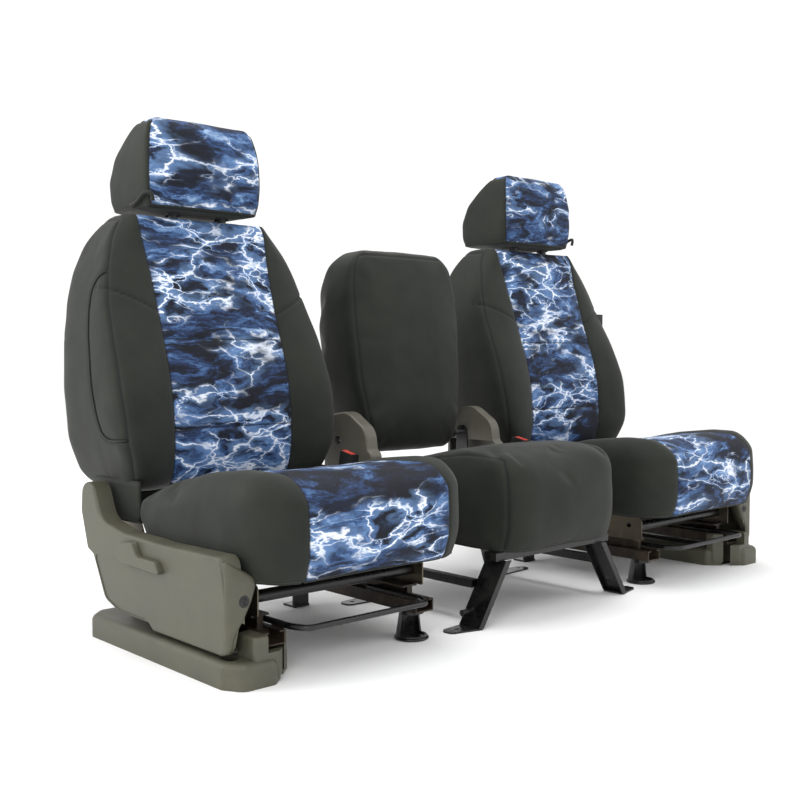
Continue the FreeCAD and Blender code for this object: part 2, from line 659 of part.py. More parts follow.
# ---- centre seat frame -------------------------------------------------------------------
def front_leg():
    """Left front leg: splayed channel, floor flange and stub."""
    x_foot, y_foot = -LEG_PITCH_X / 2, -LEG_PITCH_Y / 2 - FACE_Y
    top = BEAM_TOP - BEAM_HEIGHT
    near, far = y_foot - 34, y_foot + 26
    slope = [(-176, top, 0), (-180, top, 0), (x_foot + 34, 4, 0), (x_foot + 39, 4, 0)]
    web = prism([slope[0], slope[1], slope[2], slope[3]], "xz", near, far)
    wide = [(-162, top, 0), (-180, top, 0), (x_foot + 34, 4, 0), (x_foot + 50, 4, 0)]
    flanges = [prism(wide, "xz", near, near + 3), prism(wide, "xz", far - 3, far)]
    foot = prism([(x_foot - 30, y_foot - 14, 14), (x_foot - 30, y_foot + 18, 14), (x_foot + 50, far, 4),
                  (x_foot + 50, near, 4)], "xy", 0, 4)
    hole = rod(V(x_foot, y_foot, -1), V(x_foot, y_foot, 5), FLOOR_BOLT)
    stub = rod(V(x_foot + 22, y_foot + 6, 34), V(x_foot + 58, y_foot + 6, 34), 7)
    return joined([web, foot, stub] + flanges).cut(hole)


def rear_leg():
    """Left rear leg: flat foot and an upright plate up to the backrest hinge."""
    x_foot, y_foot = -LEG_PITCH_X / 2, LEG_PITCH_Y / 2 - FACE_Y
    inner = -BRACKET_INNER
    plate = prism([(y_foot - 30, 0, 4), (y_foot + 30, 0, 4), (MID_PIVOT_Y + 22, MID_PIVOT_Z - 60, 20),
                   (MID_PIVOT_Y + 18, MID_PIVOT_Z + 18, 16), (MID_PIVOT_Y - 18, MID_PIVOT_Z + 18, 16),
                   (MID_PIVOT_Y - 30, 240, 30), (y_foot - 30, 150, 20)], "yz", inner, inner + 4)
    foot = prism([(x_foot - 26, y_foot - 18, 14), (x_foot - 26, y_foot + 18, 14), (inner, y_foot + 28, 4),
                  (inner, y_foot - 28, 4)], "xy", 0, 4)
    hole = rod(V(x_foot, y_foot, -1), V(x_foot, y_foot, 5), FLOOR_BOLT)
    bore = rod(V(inner - 1, MID_PIVOT_Y, MID_PIVOT_Z), V(inner + 5, MID_PIVOT_Y, MID_PIVOT_Z),
               MID_PIVOT_RADIUS)
    return joined([plate, foot]).cut(hole).cut(bore)


def side_bar():
    """Left bar from the front leg to the rear leg."""
    y_front = -LEG_PITCH_Y / 2 - FACE_Y + 26
    y_rear = LEG_PITCH_Y / 2 - FACE_Y - 30
    x = -BRACKET_INNER - 20
    bar = box(x, x + 20, y_front, y_rear + 44, 78, 96)
    return bar.cut(box(x + 2, x + 18, y_front - 1, y_rear + 45, 80, 94))


def centre_pan():
    """Pressed pan under the centre cushion, on the legs."""
    top = MID_CUSHION_HEM + 16
    half = MID_CUSHION_WIDTH / 2 - 24
    sheet = box(-half, half, MID_CUSHION_FRONT + 62, MID_CUSHION_REAR - 12, top - 3, top)
    parts = [sheet]
    front = -LEG_PITCH_Y / 2 - FACE_Y - 24
    for y in (front, front + LEG_PITCH_Y):
        parts.append(box(-BRACKET_INNER + 4, BRACKET_INNER - 4, y, y + 36, BEAM_TOP - BEAM_HEIGHT, BEAM_TOP))
        parts.append(box(-half + 30, half - 30, y + 6, y + 30, BEAM_TOP, top - 3))
    return joined(parts)


def hinge_bracket():
    """Left grey moulding over the centre backrest hinge."""
    outer = -BRACKET_INNER - BRACKET_WIDTH
    solid = prism([(-104, 240, 14), (-106, 352, 16), (-92, 362, 8), (-84, MID_PIVOT_Z + 30, 46),
                   (-10, MID_PIVOT_Z + 74, 60), (MID_PIVOT_Y + 52, MID_PIVOT_Z + 60, 50),
                   (MID_PIVOT_Y + 60, 240, 14)], "yz", outer, -BRACKET_INNER)
    rim = [e for e in solid.Edges if all(abs(v.X - outer) < 0.01 for v in e.Vertexes)]
    solid = solid.makeFillet(6, rim)
    hollow = box(outer + 5, -BRACKET_INNER + 1, -90, MID_PIVOT_Y + 48, 230, MID_PIVOT_Z - 20)
    bolt = rod(V(outer - 1, MID_PIVOT_Y, MID_PIVOT_Z), V(-BRACKET_INNER + 1, MID_PIVOT_Y, MID_PIVOT_Z), 11)
    return solid.cut(hollow).cut(bolt)


def hinge_bolt():
    """Left headed pivot bolt of the centre backrest."""
    outer = -BRACKET_INNER - BRACKET_WIDTH
    head = rod(V(outer + 6, MID_PIVOT_Y, MID_PIVOT_Z), V(-BRACKET_INNER, MID_PIVOT_Y, MID_PIVOT_Z), 10)
    shank = rod(V(-BRACKET_INNER, MID_PIVOT_Y, MID_PIVOT_Z), V(-BRACKET_INNER + 70, MID_PIVOT_Y, MID_PIVOT_Z),
                MID_PIVOT_RADIUS)
    socket = Part.makeCylinder(5, 6, V(outer + 5, MID_PIVOT_Y, MID_PIVOT_Z), V(1, 0, 0))
    return joined([head, shank]).cut(socket)


def centre_frame():
    """Board and two hinge tubes inside the centre backrest."""
    half = MID_BACK_WIDTH / 2
    board = half - 48
    parts = [box(-board, board, 60, 66, MID_PIVOT_Z - 6, MID_BACK_BASE + 0.8 * MID_BACK_HEIGHT)]
    for way in (-1, 1):
        x0, x1 = sorted((way * (BRACKET_INNER - 66), way * (half * 0.84)))
        sleeve = rod(V(x0, MID_PIVOT_Y, MID_PIVOT_Z), V(x1, MID_PIVOT_Y, MID_PIVOT_Z), 14)
        near, far = sorted((way * board, way * (board - 18)))
        arm = box(near, far, MID_PIVOT_Y, 66, MID_PIVOT_Z - 6, MID_PIVOT_Z + 30)
        parts.append(sleeve.fuse(arm))
    whole = joined(parts)
    bore = rod(V(-half - 20, MID_PIVOT_Y, MID_PIVOT_Z), V(half + 20, MID_PIVOT_Y, MID_PIVOT_Z),
               MID_PIVOT_RADIUS + RUN_FIT)
    return whole.cut(bore)


# ---- assembly ----------------------------------------------------------------------------
def outer_seat_nodes():
    """Every node of the left seat that has its own mirrored twin."""
    guides, posts, frame = headrest_guides(), headrest_posts(), back_frame()
    solid_guides = [rod(post_point(x, -GUIDE_LENGTH), post_point(x, 6), GUIDE_RADIUS)
                    for x in (-POST_SPREAD / 2, POST_SPREAD / 2)]
    cavities = Part.makeCompound([post_room(), frame] + solid_guides)
    back_foam, back_cover, back_panel = outer_back(cavities)
    cushion_foam, cushion_cover, cushion_panel = outer_cushion()
    head_foam, head_cover, head_panel = headrest(posts)
    return {
        "upper_rails": [upper_rail(RAIL_OUT_X), upper_rail(RAIL_IN_X)],
        "side_plates": [side_plate(PLATE_OUT_X), side_plate(PLATE_IN_X - PLATE_WALL)],
        "cross_tubes": cross_tubes(),
        "seat_pan": seat_pan(),
        "recliner_pins": recliner_pins(),
        "cushion_foam": cushion_foam,
        "cushion_cover": cushion_cover,
        "cushion_panel": cushion_panel,
        "side_trim": outboard_trim(),
        "recline_lever": recline_lever(),
        "release_bar": release_bar(),
        "buckle": buckle(),
        "buckle_button": buckle_button(),
        "back_frame": frame,
        "back_foam": back_foam,
        "back_cover": back_cover,
        "back_panel": back_panel,
        "headrest_guides": guides,
        "headrest_posts": posts,
        "headrest_foam": head_foam,
        "headrest_cover": head_cover,
        "headrest_panel": head_panel,
        "floor_skirt": floor_skirt(),
    }


def floor_nodes():
    """Nodes on the floor that hold the same piece for both outer seats."""
    rails = [lower_rail(RAIL_OUT_X), lower_rail(RAIL_IN_X)]
    feet = [floor_bracket(RAIL_OUT_X, FRONT_BOLT_Y, 1), floor_bracket(RAIL_OUT_X, REAR_BOLT_Y, -1),
            floor_bracket(RAIL_IN_X, REAR_BOLT_Y, -1)]
    return {"lower_rails": rails, "rail_feet": feet, "cup_feet": [cup_foot(RAIL_IN_X, FRONT_BOLT_Y)]}


def centre_nodes():
    """Nodes of the centre seat."""
    frame = centre_frame()
    foam, cover = centre_cushion()
    bolt_room = [rod(V(s * (BRACKET_INNER - 70), MID_PIVOT_Y, MID_PIVOT_Z),
                     V(s * (BRACKET_INNER + 2), MID_PIVOT_Y, MID_PIVOT_Z), 14) for s in (-1, 1)]
    back_foam, back_cover = centre_back(Part.makeCompound([frame] + bolt_room))
    return {
        "centre_front_legs": [front_leg(), mirrored(front_leg())],
        "centre_rear_legs": [rear_leg(), mirrored(rear_leg())],
        "centre_side_bars": [side_bar(), mirrored(side_bar())],
        "centre_seat_pan": centre_pan(),
        "centre_cushion_foam": foam,
        "centre_cushion_cover": cover,
        "centre_hinge_brackets": [hinge_bracket(), mirrored(hinge_bracket())],
        "centre_hinge_bolts": [hinge_bolt(), mirrored(hinge_bolt())],
        "centre_back_frame": frame,
        "centre_back_foam": back_foam,
        "centre_back_cover": back_cover,
    }


def solids_of(piece):
    """Separate solids of a shape or of a list of shapes."""
    shapes = piece if isinstance(piece, list) else [piece]
    return [solid for shape in shapes for solid in shape.Solids]


def export(name, solids):
    """Write one node."""
    shape = solids[0] if len(solids) == 1 else Part.makeCompound(solids)
    shape.exportStep("parts/" + name + ".step")
    print(name, len(solids), round(sum(s.Volume for s in solids) / 1e3, 1), "cm3",
          all(s.isValid() for s in solids))


def main():
    """Build and write every node."""
    os.makedirs("parts", exist_ok=True)
    for name, piece in outer_seat_nodes().items():
        left = [on_left(s) for s in solids_of(piece)]
        export("left_" + name, left)
        export("right_" + name, [mirrored(s) for s in left])
    for name, piece in floor_nodes().items():
        left = [on_left(s) for s in solids_of(piece)]
        export(name, left + [mirrored(s) for s in left])
    for name, piece in centre_nodes().items():
        export(name, [on_centre(s) for s in solids_of(piece)])


main()
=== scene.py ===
"""A row of three truck seats in fitted covers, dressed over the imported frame.

Every soft block is a closed quilt of quads that is blown out by a cloth run and then seamed.
Left and right are hand-made mirrors, so the right half is turned over from the left one.
"""

import json
import logging
import math
from collections.abc import Callable, Sequence
from dataclasses import dataclass, field
from enum import Enum

import bpy
import numpy as np
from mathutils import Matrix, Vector, noise
from mathutils.bvhtree import BVHTree

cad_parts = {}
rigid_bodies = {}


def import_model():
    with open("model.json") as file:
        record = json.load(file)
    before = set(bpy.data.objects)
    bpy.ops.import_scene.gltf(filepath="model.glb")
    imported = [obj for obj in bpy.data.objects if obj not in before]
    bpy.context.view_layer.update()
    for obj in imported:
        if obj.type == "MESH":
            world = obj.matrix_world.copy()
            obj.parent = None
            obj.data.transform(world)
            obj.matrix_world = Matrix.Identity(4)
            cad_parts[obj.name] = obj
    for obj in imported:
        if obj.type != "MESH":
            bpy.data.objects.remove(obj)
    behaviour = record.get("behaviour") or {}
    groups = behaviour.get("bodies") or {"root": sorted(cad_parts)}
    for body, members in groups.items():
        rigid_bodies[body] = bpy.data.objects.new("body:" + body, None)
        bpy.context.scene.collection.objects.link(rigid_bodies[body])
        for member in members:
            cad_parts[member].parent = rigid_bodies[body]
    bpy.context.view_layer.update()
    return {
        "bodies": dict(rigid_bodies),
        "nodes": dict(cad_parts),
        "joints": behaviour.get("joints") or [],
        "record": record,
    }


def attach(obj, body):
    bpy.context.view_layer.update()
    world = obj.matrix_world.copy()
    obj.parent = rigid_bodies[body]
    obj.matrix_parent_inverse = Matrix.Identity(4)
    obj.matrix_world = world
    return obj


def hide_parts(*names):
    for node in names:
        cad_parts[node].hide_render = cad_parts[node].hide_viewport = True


LOG = logging.getLogger("seats")
SEAT_SPACING = 0.585
FACE_Y = 0.280
MM = 0.001
CLOTH_FRAMES = 20
SEAM_HOLD = 0.85            # how firmly the cloth run holds a seam
CLOTH_STITCH = {"Pitch": 0.005, "Stitch Length": 0.0036, "Thread Radius": 0.0005}
FINE_STITCH = {**CLOTH_STITCH, "Thread Radius": 0.00045}
AIRBAG_STITCH = {"Pitch": 0.0042, "Stitch Length": 0.0031, "Thread Radius": 0.00045}
CUSHION_ROLL = {"Roll Radius": 0.0034}


class Hand(Enum):
    """Side of the row; its value turns left-hand X into the side's own."""

    LEFT = 1.0
    RIGHT = -1.0

    @property
    def word(self) -> str:
        """Prefix of the side's bodies and nodes."""
        return self.name.lower()


class Wall(Enum):
    """Walls of a soft block before it is bent to shape."""

    FRONT = 0
    REAR = 1
    LEFT = 2
    RIGHT = 3
    BOTTOM = 4
    TOP = 5


# ---- finishes ----------------------------------------------------------------------------
def linear(colour: str) -> tuple[float, float, float, float]:
    """Turn an sRGB hex colour to linear.

    Args:
        colour: Six hex digits, with or without a leading hash.

    Returns:
        Red, green, blue and a full alpha.
    """
    digits = colour.lstrip("#")
    parts = [int(digits[i:i + 2], 16) / 255 for i in (0, 2, 4)]
    return (*[p / 12.92 if p <= 0.04045 else ((p + 0.055) / 1.055) ** 2.4 for p in parts], 1.0)


def add_node(tree: bpy.types.NodeTree, kind: str, settings: dict | None = None,
             values: dict | None = None, links: dict | None = None) -> bpy.types.Node:
    """Add a node with its settings, its constants and what feeds it.

    Args:
        tree: Tree the node joins.
        kind: Node type.
        settings: Attributes of the node.
        values: Constants by input name or index.
        links: Output sockets by input name or index.

    Returns:
        The new node.
    """
    node = tree.nodes.new(kind)
    for key, value in (settings or {}).items():
        setattr(node, key, value)
    for key, value in (values or {}).items():
        node.inputs[key].default_value = value
    for key, socket in (links or {}).items():
        tree.links.new(socket, node.inputs[key])
    return node


def ramp(tree: bpy.types.NodeTree, source: bpy.types.NodeSocket,
         stops: Sequence[tuple[float, str]]) -> bpy.types.NodeSocket:
    """Turn a factor to a colour through hex stops and give the colour socket."""
    node = add_node(tree, "ShaderNodeValToRGB", links={0: source})
    band = node.color_ramp
    while len(band.elements) < len(stops):
        band.elements.new(0.5)
    for element, (place, colour) in zip(band.elements, stops):
        element.position = place
        element.color = linear(colour)
    return node.outputs[0]


def noise_node(tree: bpy.types.NodeTree, place: bpy.types.NodeSocket, scale: float,
               detail: float, rough: float = 0.5, distortion: float = 0.0) -> bpy.types.Node:
    """Add a cloud of noise over a place."""
    return add_node(tree, "ShaderNodeTexNoise", None,
                    {"Scale": scale, "Detail": detail, "Roughness": rough,
                     "Distortion": distortion}, {"Vector": place})


def fine_bump(tree: bpy.types.NodeTree, shader: bpy.types.Node, height: bpy.types.NodeSocket,
              strength: float, distance: float) -> None:
    """Raise a surface by a height."""
    bump = add_node(tree, "ShaderNodeBump", None, {"Strength": strength, "Distance": distance},
                    {"Height": height})
    tree.links.new(bump.outputs[0], shader.inputs["Normal"])


def uneven_gloss(tree: bpy.types.NodeTree, shader: bpy.types.Node, cloud: bpy.types.Node,
                 starts: tuple[float, float], roughs: tuple[float, float]) -> None:
    """Let the roughness follow a cloud from one value to another."""
    gloss = add_node(tree, "ShaderNodeMapRange", None,
                     {"From Min": starts[0], "From Max": starts[1], "To Min": roughs[0],
                      "To Max": roughs[1]}, {"Value": cloud.outputs[0]})
    tree.links.new(gloss.outputs[0], shader.inputs["Roughness"])


def blank(name: str) -> tuple[bpy.types.Material, bpy.types.NodeTree, bpy.types.Node,
                              bpy.types.NodeSocket]:
    """Start a material.

    Returns:
        The material, its tree, its shader and its Object coordinates.
    """
    material = bpy.data.materials.new(name)
    material.use_nodes = True
    tree = material.node_tree
    shader = tree.nodes["Principled BSDF"]
    place = add_node(tree, "ShaderNodeTexCoord").outputs["Object"]
    return material, tree, shader, place


@dataclass(frozen=True)
class Neoprene:
    """Neoprene: foam rubber faced with a fine polyester knit, dull with a soft rim of light."""

    name: str
    shade: str
    worn: str
    rib_mm: float = 2.6     # real rib is 0.8 mm; drawn coarser so that it shows

    def cloth(self, tree: bpy.types.NodeTree, shader: bpy.types.Node,
              place: bpy.types.NodeSocket) -> None:
        """Give the shader the knit's bump and sheen."""
        rib = add_node(tree, "ShaderNodeTexVoronoi", {"feature": "SMOOTH_F1"},
                       {"Scale": 1 / (self.rib_mm * MM), "Randomness": 0.55}, {"Vector": place})
        crease = noise_node(tree, place, 16.0, 3.0)
        soft = add_node(tree, "ShaderNodeBump", None, {"Strength": 0.10, "Distance": 0.004},
                        {"Height": crease.outputs[0]})
        knit = add_node(tree, "ShaderNodeBump", None, {"Strength": 0.16, "Distance": 0.0007},
                        {"Height": rib.outputs["Distance"], "Normal": soft.outputs[0]})
        tree.links.new(knit.outputs[0], shader.inputs["Normal"])
        shader.inputs["Roughness"].default_value = 0.68
        shader.inputs["Specular IOR Level"].default_value = 0.26
        shader.inputs["Sheen Weight"].default_value = 0.09
        shader.inputs["Sheen Roughness"].default_value = 0.45

    def make(self) -> bpy.types.Material:
        """Build the material."""
        material, tree, shader, place = blank(self.name)
        cloud = noise_node(tree, place, 9.0, 5.0, 0.6)
        colour = ramp(tree, cloud.outputs[0], ((0.3, self.shade), (0.72, self.worn)))
        tree.links.new(self.shaded(tree, colour), shader.inputs["Base Color"])
        self.cloth(tree, shader, place)
        return material

    def shaded(self, tree: bpy.types.NodeTree,
               colour: bpy.types.NodeSocket) -> bpy.types.NodeSocket:
        """Paint shade into the cloth's colour where it is drawn into a seam."""
        seam = add_node(tree, "ShaderNodeAttribute", {"attribute_name": "seam"})
        deep = add_node(tree, "ShaderNodeMapRange", {"interpolation_type": "SMOOTHSTEP"},
                        {"From Min": 0.25, "From Max": 0.95, "To Max": 0.78},
                        {"Value": seam.outputs["Fac"]})
        # Painted seam shade: the colour is mixed towards near black #0a0a0b as the seam mark
        # rises.
        mix = add_node(tree, "ShaderNodeMix", {"data_type": "RGBA"}, {7: linear("#0a0a0b")},
                       {0: deep.outputs[0], 6: colour})
        return mix.outputs[2]


@dataclass(frozen=True)
class PrintedNeoprene(Neoprene):
    """The same cloth under a dye print of dark water with branching light on it."""

    cloud_mm: float = 120.0     # long side of a cloud
    streak_mm: float = 24.0     # brushed streaks inside a cloud
    vein_mm: float = 118.0      # between the main branches
    twig_mm: float = 56.0

    def veins(self, tree: bpy.types.NodeTree, place: bpy.types.NodeSocket,
              swell: bpy.types.NodeSocket, spacing_mm: float, core_mm: float,
              reach_mm: float) -> tuple[bpy.types.NodeSocket, ...]:
        """Draw one size of branch.

        Args:
            tree: Material tree.
            place: Warped coordinates.
            swell: Noise that makes a branch thick or thin.
            spacing_mm: Distance between branches.
            core_mm: Half width of the bright core.
            reach_mm: Half width of the glow.

        Returns:
            Factors of the core and of the glow.
        """
        cells = add_node(tree, "ShaderNodeTexVoronoi", {"feature": "DISTANCE_TO_EDGE"},
                         {"Scale": 1 / (spacing_mm * MM)}, {"Vector": place})
        girth = add_node(tree, "ShaderNodeMapRange", None,
                         {"From Min": 0.36, "From Max": 0.68, "To Min": 0.35, "To Max": 2.6},
                         {"Value": swell})
        thin = add_node(tree, "ShaderNodeMath", {"operation": "DIVIDE"}, None,
                        {0: cells.outputs["Distance"], 1: girth.outputs[0]})
        factors = []
        for reach in (core_mm, reach_mm):
            fade = add_node(tree, "ShaderNodeMapRange", {"interpolation_type": "SMOOTHSTEP"},
                            {"From Min": 0.0, "From Max": 1.6 * reach / spacing_mm,
                             "To Min": 1.0, "To Max": 0.0}, {"Value": thin.outputs[0]})
            factors.append(fade.outputs[0])
        return tuple(factors)

    def make(self) -> bpy.types.Material:
        """Build the material."""
        material, tree, shader, place = blank(self.name)
        flat = add_node(tree, "ShaderNodeMapping", None,
                        {"Rotation": (0.0, 0.28, 0.0), "Scale": (0.62, 0.85, 1.45)},
                        {"Vector": place})
        warp = noise_node(tree, flat.outputs[0], 8.0, 7.0, 0.56)
        shift = add_node(tree, "ShaderNodeVectorMath", {"operation": "MULTIPLY_ADD"},
                         {1: (0.16, 0.16, 0.16), 2: (-0.08, -0.08, -0.08)},
                         {0: warp.outputs["Color"]})
        bent = add_node(tree, "ShaderNodeVectorMath", {"operation": "ADD"}, None,
                        {0: flat.outputs[0], 1: shift.outputs[0]}).outputs[0]
        cloud = noise_node(tree, bent, 1000 / self.cloud_mm, 8.0, 0.62, 1.8)
        drawn = add_node(tree, "ShaderNodeMapping", None, {"Scale": (0.35, 0.35, 1.6)},
                         {"Vector": bent})
        streak = noise_node(tree, drawn.outputs[0], 1000 / self.streak_mm, 6.0, 0.7, 0.8)
        tone = add_node(tree, "ShaderNodeMath", {"operation": "MULTIPLY_ADD"}, {1: 0.42},
                        {0: streak.outputs[0], 2: cloud.outputs[0]})
        water = ramp(tree, tone.outputs[0],
                     ((0.60, self.shade), (0.685, "#131b2e"), (0.755, "#25395e"),
                      (0.83, "#456592"), (0.93, self.worn)))
        where = noise_node(tree, flat.outputs[0], 7.5, 3.0, 0.6)
        swell = noise_node(tree, bent, 26.0, 2.0)
        colour = water
        for spacing, core, reach, low, high in (
                (self.vein_mm, 1.7, 11.0, 0.40, 0.55), (self.twig_mm, 1.0, 5.0, 0.46, 0.60)):
            line, glow = self.veins(tree, bent, swell.outputs[0], spacing, core, reach)
            shown = add_node(tree, "ShaderNodeMapRange", {"interpolation_type": "SMOOTHSTEP"},
                             {"From Min": low, "From Max": high}, {"Value": where.outputs[0]})
            for factor, paint, share in ((glow, "#6f93c4", 0.55), (line, "#f4f8ff", 0.97)):
                strength = add_node(tree, "ShaderNodeMath", {"operation": "MULTIPLY"}, None,
                                    {0: factor, 1: shown.outputs[0]})
                part = add_node(tree, "ShaderNodeMath", {"operation": "MULTIPLY"}, {1: share},
                                {0: strength.outputs[0]})
                mix = add_node(tree, "ShaderNodeMix", {"data_type": "RGBA"}, {7: linear(paint)},
                               {0: part.outputs[0], 6: colour})
                colour = mix.outputs[2]
        tree.links.new(self.shaded(tree, colour), shader.inputs["Base Color"])
        self.cloth(tree, shader, place)
        shader.inputs["Sheen Weight"].default_value = 0.02
        return material


@dataclass(frozen=True)
class Moulding:
    """Polypropylene moulded against an etched tool: an even leather grain, half dull."""

    name: str
    shade: str
    worn: str
    rough: float = 0.48
    grain_mm: float = 2.2       # etched grain; drawn about twice its real 1 mm

    def make(self) -> bpy.types.Material:
        """Build the material."""
        material, tree, shader, place = blank(self.name)
        cloud = noise_node(tree, place, 13.0, 6.0, 0.65)
        colour = ramp(tree, cloud.outputs[0], ((0.32, self.shade), (0.70, self.worn)))
        grain = add_node(tree, "ShaderNodeTexVoronoi", {"feature": "SMOOTH_F1"},
                         {"Scale": 1 / (self.grain_mm * MM)}, {"Vector": place})
        fine_bump(tree, shader, grain.outputs["Distance"], 0.22, 0.0006)
        uneven_gloss(tree, shader, cloud, (0.3, 0.7), (self.rough - 0.06, self.rough + 0.08))
        tree.links.new(colour, shader.inputs["Base Color"])
        shader.inputs["IOR"].default_value = 1.49
        return material


@dataclass(frozen=True)
class CoatedSteel:
    """Pressed steel under a thin dipped coat: orange-peel gloss with dust and rubbed spots."""

    name: str
    shade: str
    dust: str
    rough: float = 0.34
    metallic: float = 0.0
    peel_mm: float = 7.0

    def make(self) -> bpy.types.Material:
        """Build the material."""
        material, tree, shader, place = blank(self.name)
        cloud = noise_node(tree, place, 22.0, 8.0, 0.7)
        peel = noise_node(tree, place, 1 / (self.peel_mm * MM), 2.0)
        colour = ramp(tree, cloud.outputs[0], ((0.45, self.shade), (0.78, self.dust)))
        fine_bump(tree, shader, peel.outputs[0], 0.14, 0.0012)
        uneven_gloss(tree, shader, cloud, (0.35, 0.7), (self.rough - 0.08, self.rough + 0.16))
        tree.links.new(colour, shader.inputs["Base Color"])
        shader.inputs["Metallic"].default_value = self.metallic
        return material


class Wardrobe:
    """Every finish of the row, made once and handed out by slot."""

    def __init__(self) -> None:
        """Make the finishes."""
        self.charcoal = Neoprene("charcoal_neoprene", "#191c17", "#242720").make()
        self.printed = PrintedNeoprene("printed_neoprene", "#0a0e19", "#93aed0").make()
        # Foam rubber of the blocks under the covers, open celled and dark.
        self.foam = Neoprene("seat_foam_rubber", "#35342f", "#47453e", 4.0).make()
        self.grey = Moulding("grained_polypropylene", "#48473b", "#555445").make()
        self.taupe = Moulding("taupe_polypropylene", "#535147", "#625f55", 0.42).make()
        self.housing = Moulding("buckle_nylon", "#191a1b", "#262728", 0.36, 1.6).make()
        # Press button: polished ABS, an even red with a clear highlight.
        self.red = Moulding("red_press_abs", "#b8392f", "#d0554a", 0.24, 1.4).make()
        self.recess = Moulding("black_recess_nylon", "#0f0f10", "#1b1b1c", 0.4, 1.6).make()
        # Woven polyester label, blank.
        self.label = Moulding("woven_label", "#141413", "#1e1e1c", 0.6, 1.2).make()
        self.black = CoatedSteel("black_dipped_steel", "#0b0b0c", "#1f1d1b", 0.30).make()
        self.track = CoatedSteel("oiled_track_steel", "#2b241e", "#57493b", 0.40, 0.55).make()
        self.plated = CoatedSteel("zinc_plated_steel", "#5c564a", "#7b7262", 0.36, 0.85).make()
        self.bright = CoatedSteel("chromed_post_steel", "#a9abae", "#c6c8ca", 0.20, 1.0).make()
        # Bonded polyester thread, twisted, a little lighter than the cloth.
        self.thread = Neoprene("charcoal_polyester_thread", "#33342f", "#44453f", 1.0).make()

    def slots(self) -> dict[str, bpy.types.Material]:
        """Finish of each of the record's slots."""
        return {"charcoal_knit": self.charcoal, "printed_knit": self.printed,
                "seat_foam": self.foam, "grey_moulding": self.grey,
                "black_steel": self.black, "track_steel": self.track,
                "plated_steel": self.plated, "bright_steel": self.bright,
                "buckle_plastic": self.housing, "red_button": self.red,
                "taupe_moulding": self.taupe}

    def dress(self, nodes: dict[str, bpy.types.Object]) -> None:
        """Put the finishes on the CAD nodes by the slot each one names.

        Args:
            nodes: CAD node objects by name.
        """
        finishes = self.slots()
        for name, node in nodes.items():
            for slot in node.material_slots:
                word = slot.material.name.split(".")[0] if slot.material else ""
                if word in finishes:
                    slot.link = "OBJECT"
                    slot.material = finishes[word]
                else:
                    LOG.warning("%s keeps %s", name, word)


